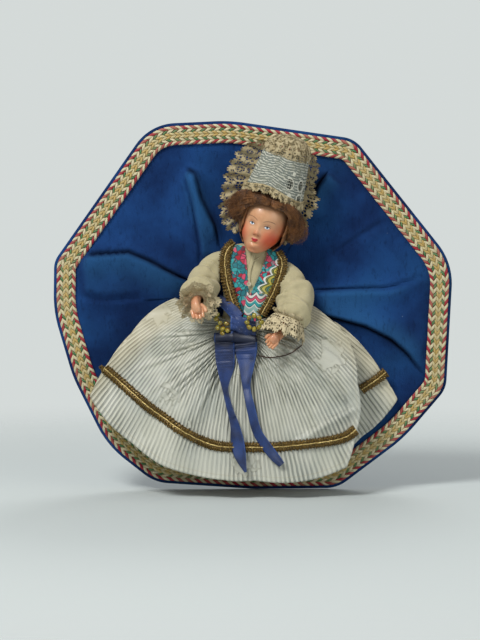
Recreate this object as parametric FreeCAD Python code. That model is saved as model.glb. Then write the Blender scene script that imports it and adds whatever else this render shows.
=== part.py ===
import FreeCAD, Part
import math
import os
from FreeCAD import Placement, Rotation, Vector

# A celluloid doll in regional dress, sewn on a felt round.
# X runs to the viewer's right, Y towards the wall, Z up. The origin is the centre of the flat back.

# Felt round
round_width = 200.0
round_height = 185.0
felt_thickness = 1.2
card_thickness = 1.5
card_inset = 1.5
fold_height = 3.2
fold_width = 13.0
fold_sink = 0.4

# Plaited braid on the rim
braid_inset = 1.5
braid_width = 9.5
braid_base = 1.7
braid_plait_height = 2.5
braid_edge_cord = 1.7
braid_plait_gap = 0.6

# Sides of the many-sided rings that the rounded pieces are lofted through
trunk_sides = 16
head_sides = 20
limb_sides = 12
pleat_sides = 4

# Clearances and the overrun of every cut
cloth_gap = 0.3
turning_gap = 0.3
overrun = 6.0
flat_tolerance = 6e-7

# Trunk of the doll
waist_x = -6.0
waist_z = -9.5
trunk_lean = 9.8
trunk_y = -13.5
trunk_width = 22.0
trunk_depth = 13.0
hip_drop = 12.0
trunk_height = 47.5
celluloid_wall = 0.9
shoulder_height = 28.5
hip_joint_drop = 7.0
neck_height = 37.0
neck_y = -14.5
neck_x = 0.7
neck_radius = 4.2
neck_length = 4.0
collar_wall = 0.9
collar_height = 3.0

# Clothes on the trunk, from the inside out
blouse_thickness = 0.8
fichu_thickness = 0.9
gold_braid_thickness = 0.8
gold_braid_width = 5.2
button_radius = 1.1
button_height = 0.9
armhole_gap = 0.6
shoulder_cap_radius = 5.2
shoulder_cap_reach = 14.4
button_place_share = 0.70
chest_depth_share = 1.04
waist_depth_share = 0.94

# Head
head_height = 29.5
head_width = 22.0
head_depth = 24.4
head_lean = 7.7
head_pitch = 10.0
face_turn = -10.0
head_forward = 2.5
nose_length = 5.0
nose_height = 1.7
ear_size = 3.6
nose_top_share = 0.50
ear_place_share = 0.45
ear_way_shares = (0.9, 0.4)
neck_stub_share = 0.3
hair_thickness = 1.4
hair_puff = 3.4
hair_window_shares = [
    (-0.46, 0.0), (0.46, 0.0), (0.46, 0.62), (0.30, 0.76), (-0.02, 0.86), (-0.34, 0.76), (-0.46, 0.62),
]
hair_window_depth_share = -0.40
ear_room_shares = [(-0.70, 0.30), (0.70, 0.30), (0.70, 0.56), (-0.70, 0.56)]
ear_room_depth_shares = (-0.30, 0.02)
neck_room_share = 0.5

# Cap
cap_width = 29.0
cap_depth = 25.0
cap_wall = 0.8
brim_height = 6.0
crown_height = 14.0
cap_top_height = 12.0
frill_reach = 27.0
frill_thickness = 0.9
frill_wave = 1.3
frill_y = 1.5
brim_place_share = 0.97
crown_taper_shares = (0.90, 0.84)
brim_arch_shares = (0.80, 0.55)
cap_top_shares = [(0.0, 1.0), (0.45, 0.92), (0.80, 0.66), (1.0, 0.28)]
cap_tip_shares = (0.36, 0.34)

# Arms, sleeves and cuffs
arm_length = 34.0
arm_radius = 3.2
wrist_radius = 2.3
hand_length = 7.0
hand_width = 5.6
hand_thickness = 2.6
finger_width = 1.2
thumb_length = 3.6
arm_end_share = 0.5
elbow_share = 0.9
wrist_end_share = 0.9
knuckle_share = 0.3
palm_share = 0.55
finger_pitch_share = 1.12
finger_length_share = 0.45
finger_step_share = 0.05
finger_tip_share = 0.36
finger_count = 4
longest_finger = 1.2
thumb_place_shares = (0.36, 0.25)
thumb_way_shares = (0.7, 0.75)
thumb_taper_shares = (0.6, 0.4)
arm_boss_radius = 2.6
sleeve_radius = 6.4
sleeve_wall = 0.8
arm_spread = 20.4
cuff_radius = 10.4
cuff_depth = 5.5
cuff_wall = 0.8
cuff_throat_share = 1.6
cuff_root_share = 0.8
cuff_middle_shares = (0.45, 0.86)

# Legs
leg_length = 60.0
leg_radius = 4.4
leg_spread = 6.0
shoe_length = 12.0
shoe_height = 4.5
shoe_forward_share = 0.2
shoe_sole_shares = (0.26, 0.27)
shoe_top_shares = (0.12, 0.6, 0.7)

# Elastic cords and their knots
elastic_radius = 0.7
elastic_gap = 0.4
knot_radius = 1.6
knot_length = 1.8
knot_gap = 0.4
knot_depth = 4.0

# Skirt
skirt_reach = 84.0
skirt_depth = 36.0
skirt_waist_radius = 3.0
skirt_waist_depth = 23.0
skirt_wall = 0.8
skirt_back_gap = 0.3
panel_start = 50.0
panel_waist_depth = 7.0
skirt_braid_thickness = 1.0
skirt_braid_width = 5.0

# Ribbon and beads
ribbon_thickness = 0.8
ribbon_width = 4.2
knot_width = 13.0
knot_height = 9.0
knot_thickness = 3.6
knot_place_shares = (0.02, 0.035)
knot_ring_shares = ((0, 0.8), (0.4, 1.0), (1.0, 0.62))
ribbon_band_shares = [(-0.135, 0.165), (-0.07, 0.09), (-0.015, 0.045)]
bead_radius = 1.15
bead_pitch = 2.6
bead_count = 8
bead_row_share = 0.6
bead_seat = 0.3
ring_radius = 3.9
ring_place_shares = (0.035, 0.05)
bead_sides = 8
bead_ring_shares = ((-1, 0.45), (-0.5, 1.0), (0.5, 1.0), (1, 0.45))
bead_row_count = 3

felt_face = -(2 * felt_thickness + card_thickness)
half_width = round_width / 2
half_height = round_height / 2
blouse_inner = cloth_gap
blouse_outer = blouse_inner + blouse_thickness
fichu_inner = blouse_outer + cloth_gap
fichu_outer = fichu_inner + fichu_thickness
gold_inner = fichu_outer + cloth_gap
gold_outer = gold_inner + gold_braid_thickness

# Corners of the round, clockwise from the upper left: across, up and corner radius
sharp_corner_share = 6.0
round_corner_shares = [
    (-1.002, 0.241, 0.12), (-0.518, 0.983, 0.25), (-0.12, 1.003, 0.80), (0.506, 0.905, 0.14),
    (1.004, 0.232, 0.32), (0.972, -0.454, 0.14), (0.76, -0.724, 0.80), (0.425, -0.998, 0.18),
    (0.0, -1.003, 0.90), (-0.50, -0.967, 0.22), (-0.74, -0.762, 0.50), (-0.91, -0.389, 0.70),
    (-1.006, -0.032, 0.60),
]

# Folds of the felt: places from the rim towards the doll, as shares of the half width
fold_place_shares = [
    ((-0.83, 0.20), (-0.62, 0.205), (-0.44, 0.135)),
    ((-0.36, 0.73), (-0.33, 0.55), (-0.285, 0.31)),
    ((-0.85, 0.03), (-0.73, 0.02), (-0.58, 0.03)),
    ((0.43, 0.69), (0.40, 0.60), (0.345, 0.49)),
    ((0.82, 0.08), (0.62, 0.01), (0.40, 0.04)),
    ((0.79, -0.31), (0.70, -0.235), (0.55, -0.115)),
    ((-0.22, 0.77), (-0.20, 0.68), (-0.18, 0.60)),
    ((0.66, 0.44), (0.53, 0.35), (0.40, 0.26)),
]
fold_height_shares = (0.35, 1.0, 0.45)
fold_width_shares = (0.8, 1.0, 0.6)

# Trunk rings from the hips to the neck: up, half width and half depth
trunk_ring_shares = [
    (0.0, 0.74, 0.80), (0.13, 1.0, 1.0), (0.255, 0.82, 0.88), (0.48, 0.88, 0.94),
    (0.70, 0.98, 1.04), (0.87, 1.0, 0.94), (0.955, 0.74, 0.80), (1.0, 0.50, 0.76),
]

# Head rings from the chin to the crown: up, half width, half depth and how far the middle comes forward
head_ring_shares = [
    (0.02, 0.34, 0.34, 0.56), (0.12, 0.64, 0.72, 0.24), (0.28, 0.88, 0.92, 0.08), (0.50, 1.0, 1.0, 0.0),
    (0.70, 1.0, 1.0, 0.0), (0.85, 0.86, 0.88, 0.0), (0.95, 0.56, 0.58, 0.0), (1.0, 0.18, 0.20, 0.0),
]

# Hair rings: up as a share of the head height, then half width and half depth as shares of the head
# with its hair
hair_ring_shares = [
    (0.30, 0.82, 0.92), (0.50, 1.0, 1.0), (0.82, 1.0, 1.0), (0.97, 0.80, 0.86), (1.06, 0.34, 0.40),
]

# Skirt edge, one entry for each valley between two pleats: angle from straight down, reach,
# front depth, and how far the back stands off the felt
skirt_edge_shares = [
    (-112, 0.43, 0.34, 0.16), (-98, 0.55, 0.36, 0.16), (-86, 0.655, 0.42, 0.18), (-75, 0.81, 0.48, 0.19),
    (-65, 0.99, 0.52, 0.195), (-54, 0.965, 0.66, 0.195), (-43, 0.935, 0.80, 0.195), (-31, 0.925, 0.92, 0.195),
    (-19, 0.905, 0.99, 0.195), (-7, 0.888, 1.0, 0.195), (5, 0.893, 1.0, 0.195), (17, 0.94, 0.98, 0.195),
    (28, 0.99, 0.94, 0.26), (37, 1.02, 0.88, 0.37), (46, 0.925, 0.82, 0.37), (55, 0.855, 0.78, 0.37),
    (64, 0.755, 0.72, 0.37), (74, 0.70, 0.62, 0.33), (85, 0.62, 0.50, 0.24), (96, 0.51, 0.40, 0.20),
    (108, 0.42, 0.34, 0.16),
]
hem_first = 4
hem_last = 13
pleat_swell_share = 0.15
waist_side_share = 0.72
skirt_end_angle = 4.0
crest_first = 9

# The flat piece of skirt behind on the right, in the same order
panel_edge_shares = [
    (38, 0.98, 0.26, 0.195), (47, 0.975, 0.28, 0.195), (56, 1.015, 0.27, 0.195), (64.5, 1.035, 0.26, 0.195),
    (71, 0.87, 0.25, 0.19), (78, 0.75, 0.235, 0.18), (85, 0.64, 0.21, 0.17),
]

# Line of the gold braid over the skirt: across and down from the waist, as shares of the skirt's reach
skirt_braid_shares = [
    (-0.815, -0.245), (-0.62, -0.405), (-0.49, -0.505), (-0.25, -0.65), (-0.08, -0.69), (0.18, -0.692),
    (0.45, -0.67), (0.60, -0.64), (0.665, -0.60),
]
panel_braid_shares = [(0.715, -0.385), (0.80, -0.33), (0.862, -0.28)]

# Fronts of the dress, left one first: across as a share of the trunk width, up as a share of its height
fichu_edge_shares = [
    [(-0.48, 0.66), (-0.26, 0.70), (-0.12, 0.58), (0.02, 0.30), (0.06, 0.05), (-0.16, 0.02), (-0.40, 0.30)],
    [(0.26, 0.70), (0.48, 0.66), (0.46, 0.34), (0.36, 0.03), (0.09, 0.02), (0.06, 0.30), (0.13, 0.55)],
]
gold_line_shares = [
    [(-0.36, 0.69), (-0.42, 0.44), (-0.28, 0.22), (-0.17, 0.05)],
    [(0.40, 0.66), (0.33, 0.42), (0.24, 0.22), (0.17, 0.05)],
]

# Arm places from the shoulder, as shares of the arm length: elbow, wrist and finger tips
arm_place_shares = {
    "left": ((-0.07, -0.19, -0.42), (-0.09, -0.60, -0.56), (-0.07, -0.86, -0.68)),
    "right": ((0.17, -0.18, -0.45), (0.10, -0.50, -0.80), (-0.08, -0.66, -1.08)),
}
# Sleeve rings from the shoulder to the cuff: place as shares of the arm length, radius as a share of
# the sleeve radius, and the direction that the ring faces
sleeve_ring_shares = {
    "left": [
        ((0.03, 0.0, 0.165), 0.26, (0.2, 0.0, -1.0)), ((0.0, 0.0, 0.05), 0.78, (0.1, 0.0, -1.0)),
        ((-0.01, -0.04, -0.14), 0.86, (0.0, -0.3, -1.0)), ((-0.045, -0.17, -0.34), 0.98, (0.0, -0.7, -0.9)),
        ((-0.08, -0.33, -0.47), 1.06, (0.0, -1.0, -0.5)), ((-0.09, -0.58, -0.56), 1.14, (0.0, -1.0, -0.3)),
    ],
    "right": [
        ((-0.03, 0.0, 0.165), 0.26, (-0.2, 0.0, -1.0)), ((0.0, 0.0, 0.05), 0.78, (0.1, 0.0, -1.0)),
        ((0.05, -0.03, -0.15), 0.90, (0.3, -0.2, -1.0)), ((0.13, -0.13, -0.36), 1.06, (0.2, -0.5, -1.0)),
        ((0.16, -0.28, -0.54), 1.12, (-0.1, -0.9, -0.8)), ((0.11, -0.47, -0.76), 1.10, (-0.3, -0.8, -0.9)),
    ],
}

# Leg rings from the hip to the ankle: down and radius
leg_ring_shares = [(0.0, 0.70), (0.10, 1.0), (0.38, 0.96), (0.50, 0.74), (0.66, 0.82), (0.90, 0.56)]

# Frill of the cap: across and up from the neck, outer edge, as shares of the frill's reach
frill_edge_shares = {
    "left": [(-0.50, 0.42), (-0.72, 0.55), (-0.93, 0.80), (-1.0, 1.10), (-0.99, 1.38), (-0.92, 1.66),
             (-0.76, 1.88), (-0.52, 2.02)],
    "right": [(0.48, 0.34), (0.66, 0.56), (0.80, 0.88), (0.87, 1.22), (0.70, 1.44), (0.67, 1.66),
              (0.64, 1.88), (0.50, 2.03)],
}
frill_root_shares = {"left": (-0.44, 0.62, 1.90), "right": (0.44, 0.56, 1.92)}

# Ribbon tails: across and down from the waist as shares of the skirt's reach, and the width as a share
# of the ribbon's
ribbon_tail_shares = {
    "left": [(-0.10, -0.095, 1.5), (-0.15, -0.15, 2.6), (-0.13, -0.26, 1.7), (-0.105, -0.40, 0.55),
             (-0.075, -0.52, 1.1), (-0.045, -0.69, 1.5), (0.02, -0.875, 0.5)],
    "right": [(0.02, -0.095, 1.5), (0.02, -0.15, 2.6), (0.02, -0.26, 2.0), (0.01, -0.37, 0.7),
              (0.045, -0.50, 1.0), (0.085, -0.64, 1.0), (0.205, -0.79, 1.2), (0.24, -0.845, 0.5)],
}

doll_frame = Placement(Vector(waist_x, 0, waist_z), Rotation(Vector(0, 1, 0), trunk_lean))
neck_frame = Placement(Vector(neck_x, neck_y, neck_height), Rotation(Vector(0, 1, 0), head_lean))
pitch_frame = Placement(Vector(0, 0, 0), Rotation(Vector(1, 0, 0), head_pitch))
head_frame = doll_frame.multiply(neck_frame).multiply(pitch_frame)
face_frame = head_frame.multiply(Placement(Vector(0, 0, 0), Rotation(Vector(0, 0, 1), face_turn)))
trunk_frame = doll_frame.multiply(Placement(Vector(0, trunk_y, 0), Rotation()))

across = Vector(1, 0, 0)
forward = Vector(0, -1, 0)
upward = Vector(0, 0, 1)
half_turn = Rotation(across, 180)


def placed(shape, frame):
    moved = shape.copy()
    moved.Placement = frame.multiply(moved.Placement)
    return moved


def fused(shapes):
    whole = shapes[0]
    if len(shapes) > 1:
        whole = whole.multiFuse(shapes[1:])
    return whole.removeSplitter()


def save(name, shape):
    os.makedirs("parts", exist_ok=True)
    shape.exportStep("parts/" + name + ".step")
    print(name, "solids", len(shape.Solids), "volume", round(shape.Volume, 1), "valid", shape.isValid())


# Rings, lofts and prisms
def ring(centre, half_across, half_deep, facing=upward, sides=limb_sides):
    # a many-sided oval across X and Y, turned so that its axis faces the given way
    base = upward if facing.z >= 0 else upward.negative()
    turned = Placement(centre, Rotation(base, facing))
    corners = []
    for step in range(sides):
        turn = 2 * math.pi * (step + 0.5) / sides
        corners.append(turned.multVec(Vector(half_across * math.cos(turn), half_deep * math.sin(turn), 0)))
    return corners


def crowned_wire(backs, front_end, front_start, swell):
    # a front that swells forward in a few flats, with or without a flat back behind it
    corners = list(backs)
    for step in range(pleat_sides + 1):
        share = step / pleat_sides
        rise = forward * (4 * swell * share * (1 - share))
        corners.append(front_end + (front_start - front_end) * share + rise)
    return corners


def flat_face(corners):
    return Part.Face(Part.makePolygon(corners + corners[:1]))


def loft(rings):
    # a solid through rings of corners, with a flat face wherever four corners lie in one plane
    faces = [flat_face(rings[0]), flat_face(rings[-1])]
    for low, high in zip(rings, rings[1:]):
        for index in range(len(low)):
            after = (index + 1) % len(low)
            quad = [low[index], low[after], high[after], high[index]]
            normal = (quad[1] - quad[0]).cross(quad[2] - quad[0])
            if normal.Length and abs((quad[3] - quad[0]).dot(normal)) / normal.Length < flat_tolerance:
                faces.append(flat_face(quad))
            else:
                faces.append(flat_face([quad[0], quad[1], quad[2]]))
                faces.append(flat_face([quad[0], quad[2], quad[3]]))
    shell = Part.makeShell(faces)
    shell.sewShape()
    solid = Part.makeSolid(shell)
    if solid.Volume < 0:
        solid.reverse()
    return solid


def prism(points, front, back):
    # a plate seen from the front, between two depths
    wire = Part.makePolygon([Vector(x, back, z) for x, z in points + points[:1]])
    return Part.Face(wire).extrude(Vector(0, front - back, 0))


def rod(start, direction, radius, length):
    return Part.makeCylinder(radius, length, start, direction)


def strip(line, width):
    # the outline of a band of the given width along a line of points
    sides = [[], []]
    for index, (x, z) in enumerate(line):
        before = line[max(index - 1, 0)]
        after = line[min(index + 1, len(line) - 1)]
        run = math.hypot(after[0] - before[0], after[1] - before[1])
        step_x = (after[0] - before[0]) / run * width / 2
        step_z = (after[1] - before[1]) / run * width / 2
        sides[0].append((x - step_z, z + step_x))
        sides[1].append((x + step_z, z - step_x))
    return sides[0] + sides[1][::-1]


# Felt round
def round_outline(inset, depth):
    corners = [Vector(x * half_width, depth, z * half_height) for x, z, radius in round_corner_shares]
    count = len(corners)
    edges = []
    bends = []
    for index in range(count):
        corner = corners[index]
        run_in = (corner - corners[index - 1]).normalize()
        run_out = (corners[(index + 1) % count] - corner).normalize()
        inward_in = run_in.cross(Vector(0, 1, 0)).negative()
        inward_out = run_out.cross(Vector(0, 1, 0)).negative()
        shift = (inward_in + inward_out) * (inset / (1 + inward_in.dot(inward_out)))
        vertex = corner + shift
        turn = run_in.getAngle(run_out)
        share = round_corner_shares[index][2]
        radius = share * half_width - inset * min(1, share * sharp_corner_share)
        reach = radius * math.tan(turn / 2)
        start = vertex - run_in * reach
        end = vertex + run_out * reach
        centre = start + inward_in * radius
        middle = centre + (vertex - centre).normalize() * radius
        bends.append((start, middle, end))
    for index, (start, middle, end) in enumerate(bends):
        edges.append(Part.Arc(start, middle, end).toShape())
        edges.append(Part.LineSegment(end, bends[(index + 1) % count][0]).toShape())
    return Part.Wire(edges)


def round_plate(inset, back, thickness):
    return Part.Face(round_outline(inset, back)).extrude(forward * thickness)


def felt_fold(places):
    sections = []
    for index, (x, z) in enumerate(places):
        before = places[max(index - 1, 0)]
        after = places[min(index + 1, len(places) - 1)]
        run = Vector(after[0] - before[0], 0, after[1] - before[1]).normalize()
        side = run.cross(forward) * (fold_width * fold_width_shares[index] / 2)
        base = Vector(x * half_width, felt_face + fold_sink, z * half_width)
        height = fold_height * fold_height_shares[index] + fold_sink
        sections.append(crowned_wire([], base + side, base - side, height))
    return loft(sections)


def make_round():
    save("felt_back", round_plate(0, 0, felt_thickness))
    save("card_stiffener", round_plate(card_inset, -felt_thickness, card_thickness))
    felt = round_plate(0, -felt_thickness - card_thickness, felt_thickness)
    save("felt_front", fused([felt] + [felt_fold(places) for places in fold_place_shares]))
    outer_edge = braid_inset
    inner_edge = braid_inset + braid_width
    plait_outer = outer_edge + braid_edge_cord + braid_plait_gap
    plait_inner = inner_edge - braid_edge_cord - braid_plait_gap
    base = round_plate(outer_edge, felt_face, braid_base)
    base = base.cut(round_plate(inner_edge, felt_face, braid_base))
    cords = round_plate(outer_edge, felt_face, braid_plait_height)
    cords = cords.cut(round_plate(outer_edge + braid_edge_cord, felt_face, braid_plait_height))
    plait = round_plate(plait_outer, felt_face, braid_plait_height)
    plait = plait.cut(round_plate(plait_inner, felt_face, braid_plait_height))
    inner_cord = round_plate(inner_edge - braid_edge_cord, felt_face, braid_plait_height)
    inner_cord = inner_cord.cut(round_plate(inner_edge, felt_face, braid_plait_height))
    save("rim_braid", fused([base, cords, plait, inner_cord]))


# Trunk and the layers over it
def trunk_mass(grow, extend=0.0):
    rings = []
    last = len(trunk_ring_shares) - 1
    for index, (up, wide, deep) in enumerate(trunk_ring_shares):
        height = up * trunk_height - hip_drop
        if index == 0:
            height -= extend
        if index == last:
            height += extend
        centre = Vector(0, 0, height)
        half_across = wide * trunk_width / 2 + grow
        rings.append(ring(centre, half_across, deep * trunk_depth / 2 + grow, upward, trunk_sides))
    return placed(loft(rings), trunk_frame)


def shoulder_axis_rod(radius):
    half = trunk_width + arm_spread
    start = doll_frame.multVec(Vector(-half, trunk_y, shoulder_height))
    return rod(start, doll_frame.Rotation.multVec(across), radius, 2 * half)


def hip_axis_rod(radius):
    half = trunk_width
    start = doll_frame.multVec(Vector(-half, trunk_y, -hip_joint_drop))
    return rod(start, doll_frame.Rotation.multVec(across), radius, 2 * half)


def head_axis_rod(radius, low, high):
    start = head_frame.multVec(Vector(0, 0, low))
    return rod(start, head_frame.Rotation.multVec(upward), radius, high - low)


def make_torso():
    inside = trunk_mass(-celluloid_wall, -celluloid_wall)
    shell = trunk_mass(0).cut(inside)
    socket_depth = neck_length + turning_gap + celluloid_wall
    socket = head_axis_rod(neck_radius + turning_gap + celluloid_wall, -socket_depth, -turning_gap)
    bore = head_axis_rod(neck_radius + turning_gap, -neck_length - turning_gap, overrun)
    hole = head_axis_rod(elastic_radius + elastic_gap, -socket_depth - overrun, 0)
    hips_top = leg_pocket_radius() + celluloid_wall - hip_joint_drop
    size = trunk_width * 2
    lower = Part.makeBox(size, size, size, Vector(-size / 2, trunk_y - size / 2, hips_top - size))
    hips = trunk_mass(0).common(placed(lower, doll_frame))
    torso = fused([shell, socket, hips]).cut(bore).cut(hole)
    torso = torso.cut(shoulder_axis_rod(elastic_radius + elastic_gap))
    torso = torso.cut(hip_axis_rod(elastic_radius + elastic_gap))
    save("torso", torso.cut(leg_pockets(leg_pocket_radius())))


def leg_pocket_radius():
    return leg_radius * math.hypot(1, leg_ring_shares[0][1]) + turning_gap


def leg_pockets(radius):
    # round pockets in the hips, one each side of the web that the elastic passes through
    pockets = []
    for sign in (-1, 1):
        inner = leg_spread - leg_radius - turning_gap
        start = Vector(sign * inner, trunk_y, -hip_joint_drop)
        pocket = rod(start, across * sign, radius, trunk_width)
        low_x = inner if sign > 0 else -inner - trunk_width
        below = Vector(low_x, trunk_y - trunk_depth, -hip_joint_drop - trunk_height)
        box = Part.makeBox(trunk_width, 2 * trunk_depth, trunk_height, below)
        pockets.append(pocket.fuse(box))
    return placed(Part.makeCompound(pockets), doll_frame)


def shoulder_caps():
    # short stubs of the blouse that the sleeves turn against
    caps = []
    for sign in (-1, 1):
        start = Vector(0, trunk_y, shoulder_height)
        stub = placed(rod(start, across * sign, shoulder_cap_radius, shoulder_cap_reach), doll_frame)
        caps.append(stub.cut(trunk_mass(blouse_inner)))
    return caps


def make_blouse():
    blouse = trunk_mass(blouse_outer).cut(trunk_mass(blouse_inner))
    waist_cut = placed(Part.makeBox(trunk_width * 2, trunk_width * 2, trunk_width, Vector(
        -trunk_width, trunk_y - trunk_width, -trunk_width)), doll_frame)
    blouse = fused([blouse.cut(waist_cut)] + shoulder_caps())
    blouse = blouse.cut(shoulder_axis_rod(arm_boss_radius + armhole_gap))
    hole_radius = neck_radius + 2 * turning_gap + celluloid_wall
    neck_hole = head_axis_rod(hole_radius, -neck_length - overrun, overrun)
    save("blouse_body", blouse.cut(neck_hole))
    collar_inner = neck_radius + turning_gap + celluloid_wall + cloth_gap
    low = -turning_gap - collar_height
    collar = head_axis_rod(collar_inner + collar_wall, low, -turning_gap)
    collar = collar.cut(head_axis_rod(collar_inner, low - overrun, overrun))
    collar = collar.cut(trunk_mass(blouse_outer + cloth_gap))
    notch = [(-collar_wall, 0), (collar_wall, 0), (0, -collar_height)]
    opening = prism(notch, -trunk_depth, 0)
    collar = collar.cut(placed(opening, head_frame))
    save("collar", collar)
    button_z = button_place_share * trunk_height - hip_drop
    button_y = trunk_y - chest_depth_share * trunk_depth / 2 - blouse_outer - cloth_gap
    start = doll_frame.multVec(Vector(0, button_y, button_z))
    save("blouse_button", rod(start, doll_frame.Rotation.multVec(forward), button_radius, button_height))


def trunk_layer(inner, outer, outline):
    layer = trunk_mass(outer).cut(trunk_mass(inner))
    plate = placed(prism(outline, trunk_y - trunk_depth, trunk_y), doll_frame)
    return layer.common(plate)


def trunk_points(shares):
    return [(x * trunk_width, z * trunk_height) for x, z in shares]


def make_fichu():
    boss_room = shoulder_axis_rod(shoulder_cap_radius + cloth_gap)
    for index, side in enumerate(("left", "right")):
        front = trunk_layer(fichu_inner, fichu_outer, trunk_points(fichu_edge_shares[index]))
        save("fichu_" + side, front.cut(boss_room))
        band = strip(trunk_points(gold_line_shares[index]), gold_braid_width)
        save("gold_braid_" + side, trunk_layer(gold_inner, gold_outer, band).cut(boss_room))


# Head
def head_mass(grow):
    rings = []
    for up, wide, deep, ahead in head_ring_shares:
        centre = Vector(0, -head_forward - ahead * head_depth / 2, up * head_height)
        half_across = wide * head_width / 2 + grow
        rings.append(ring(centre, half_across, deep * head_depth / 2 + grow, upward, head_sides))
    return loft(rings)


def make_head():
    front = -head_forward - head_depth / 2
    nose_top = Vector(0, front, nose_top_share * head_height)
    nose_low = nose_top - Vector(0, nose_height / 2, nose_length)
    nose = loft([
        ring(nose_top, nose_height / 3, nose_height / 3),
        ring(nose_low, nose_height, nose_height),
        ring(nose_low - upward * (nose_height / 2), nose_height / 2, nose_height / 2),
    ])
    ears = []
    for side in (-1, 1):
        root_x = side * (head_width / 2 - celluloid_wall)
        root = Vector(root_x, -head_forward, ear_place_share * head_height)
        out = Vector(side * ear_way_shares[0], ear_way_shares[1], 0)
        ears.append(loft([
            ring(root, ear_size / 2, ear_size / 3, out),
            ring(root + out * (celluloid_wall + cloth_gap), ear_size / 2, ear_size / 3, out),
        ]))
    stub = rod(Vector(0, 0, -neck_length), upward, neck_radius, neck_length + neck_stub_share * head_height)
    head = fused([placed(fused([head_mass(0), nose] + ears), face_frame), placed(stub, head_frame)])
    head = head.cut(head_axis_rod(elastic_radius + elastic_gap, -neck_length - overrun, knot_depth))
    pocket_top = knot_depth + knot_length + 2 * knot_gap
    head = head.cut(head_axis_rod(knot_radius + knot_gap, knot_depth, pocket_top))
    save("head", head)


def hair_size():
    return head_width / 2 + hair_thickness + hair_puff, head_depth / 2 + hair_thickness


def make_wig():
    half_across, half_deep = hair_size()
    rings = []
    for up, wide, deep in hair_ring_shares:
        centre = Vector(0, -head_forward, up * head_height)
        rings.append(ring(centre, wide * half_across, deep * half_deep, upward, head_sides))
    hair = placed(loft(rings), head_frame)
    hair = hair.cut(placed(head_mass(cloth_gap), face_frame))
    outline = [(x * head_width, z * head_height) for x, z in hair_window_shares]
    face_front = -head_depth * 2
    hair = hair.cut(placed(prism(outline, face_front, hair_window_depth_share * head_depth), face_frame))
    outline = [(x * head_width, z * head_height) for x, z in ear_room_shares]
    ear_front, ear_back = [share * head_depth for share in ear_room_depth_shares]
    hair = hair.cut(placed(prism(outline, ear_front, ear_back), face_frame))
    neck_room = head_axis_rod(neck_radius + cloth_gap, -neck_length, neck_room_share * head_height)
    hair = hair.cut(neck_room)
    solids = sorted(hair.Solids, key=lambda solid: solid.Volume)
    save("wig", solids[-1])


# Cap
def oval_shell(low, high, low_size, high_size, wall, centre_y):
    # a band between two ovals, open above and below
    shells = []
    for inward in (0, wall):
        rings = []
        for up, (half_across, half_deep) in ((low, low_size), (high, high_size)):
            centre = Vector(0, centre_y, up)
            rings.append(ring(centre, half_across - inward, half_deep - inward, upward, head_sides))
        shells.append(loft(rings))
    return shells[0].cut(shells[1])


def cap_levels():
    brim_low = brim_place_share * head_height
    brim_top = brim_low + brim_height
    crown_low = brim_top + cloth_gap
    crown_top = crown_low + crown_height
    top_low = crown_top + cloth_gap
    return brim_low, brim_top, crown_low, crown_top, top_low


def make_cap():
    brim_low, brim_top, crown_low, crown_top, top_low = cap_levels()
    half_across = cap_width / 2
    half_deep = cap_depth / 2
    crown_across = half_across * crown_taper_shares[0]
    crown_deep = half_deep * crown_taper_shares[1]
    wide = half_across + cap_wall
    deep = half_deep + cap_wall
    brim = oval_shell(brim_low, brim_top, (wide, deep), (half_across, half_deep), cap_wall, -head_forward)
    arch_size, arch_drop = brim_arch_shares
    arch_start = Vector(0, 0, brim_low - half_across * arch_drop)
    arch = rod(arch_start, forward, half_across * arch_size, cap_depth)
    save("cap_brim", placed(brim.cut(arch), head_frame))
    low_size = (half_across, half_deep)
    high_size = (crown_across, crown_deep)
    crown = oval_shell(crown_low, crown_top, low_size, high_size, cap_wall, -head_forward)
    save("cap_crown", placed(crown, head_frame))
    shells = []
    for wall in (0, cap_wall):
        rings = []
        for up, share in cap_top_shares:
            centre = Vector(0, -head_forward, top_low + up * (cap_top_height - wall))
            ring_across = crown_across * share - wall
            rings.append(ring(centre, ring_across, crown_deep * share - wall, upward, head_sides))
        shells.append(loft(rings))
    save("cap_top", placed(shells[0].cut(shells[1]), head_frame))
    for side in ("left", "right"):
        make_frill(side)


def make_frill(side):
    # gathered lace that stands out behind the hair, one swell for each gather
    root_x, root_low, root_high = frill_root_shares[side]
    edge = frill_edge_shares[side]
    last = len(edge) - 1
    gathers = []
    for index in range(last):
        wedge_wires = []
        roots = []
        for step in (index, index + 1):
            up = root_low + (root_high - root_low) * step / last
            roots.append((root_x * frill_reach, up * frill_reach))
        tips = [(edge[step][0] * frill_reach, edge[step][1] * frill_reach) for step in (index, index + 1)]
        for ends, swell in ((roots, frill_wave / 3), (tips, frill_wave)):
            first = Vector(ends[0][0], frill_y, ends[0][1])
            second = Vector(ends[1][0], frill_y, ends[1][1])
            front = forward * frill_thickness
            wedge_wires.append(crowned_wire([first, second], second + front, first + front, swell))
        gathers.append(loft(wedge_wires))
    frill = fused(gathers)
    half_across, half_deep = hair_size()
    brim_low, brim_top, crown_low, crown_top, top_low = cap_levels()
    levels = [
        (0, half_across + cloth_gap, half_deep + cloth_gap),
        (brim_low, half_across + cloth_gap, half_deep + cloth_gap),
        (crown_top, cap_width * crown_taper_shares[0] / 2 + cloth_gap,
         cap_depth * crown_taper_shares[1] / 2 + cloth_gap),
        (top_low + cap_top_height, cap_width * cap_tip_shares[0], cap_depth * cap_tip_shares[1]),
    ]
    rings = []
    for up, wide, deep in levels:
        rings.append(ring(Vector(0, -head_forward, up), wide, deep, upward, head_sides))
    frill = frill.cut(loft(rings))
    solids = sorted(frill.Solids, key=lambda solid: solid.Volume)
    save("cap_frill_" + side, placed(solids[-1], head_frame))


# Arms
def side_sign(side):
    return -1 if side == "left" else 1


def shoulder_point(side):
    return Vector(side_sign(side) * arm_spread, trunk_y, shoulder_height)


def arm_point(side, shares):
    return shoulder_point(side) + Vector(*shares) * arm_length


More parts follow.
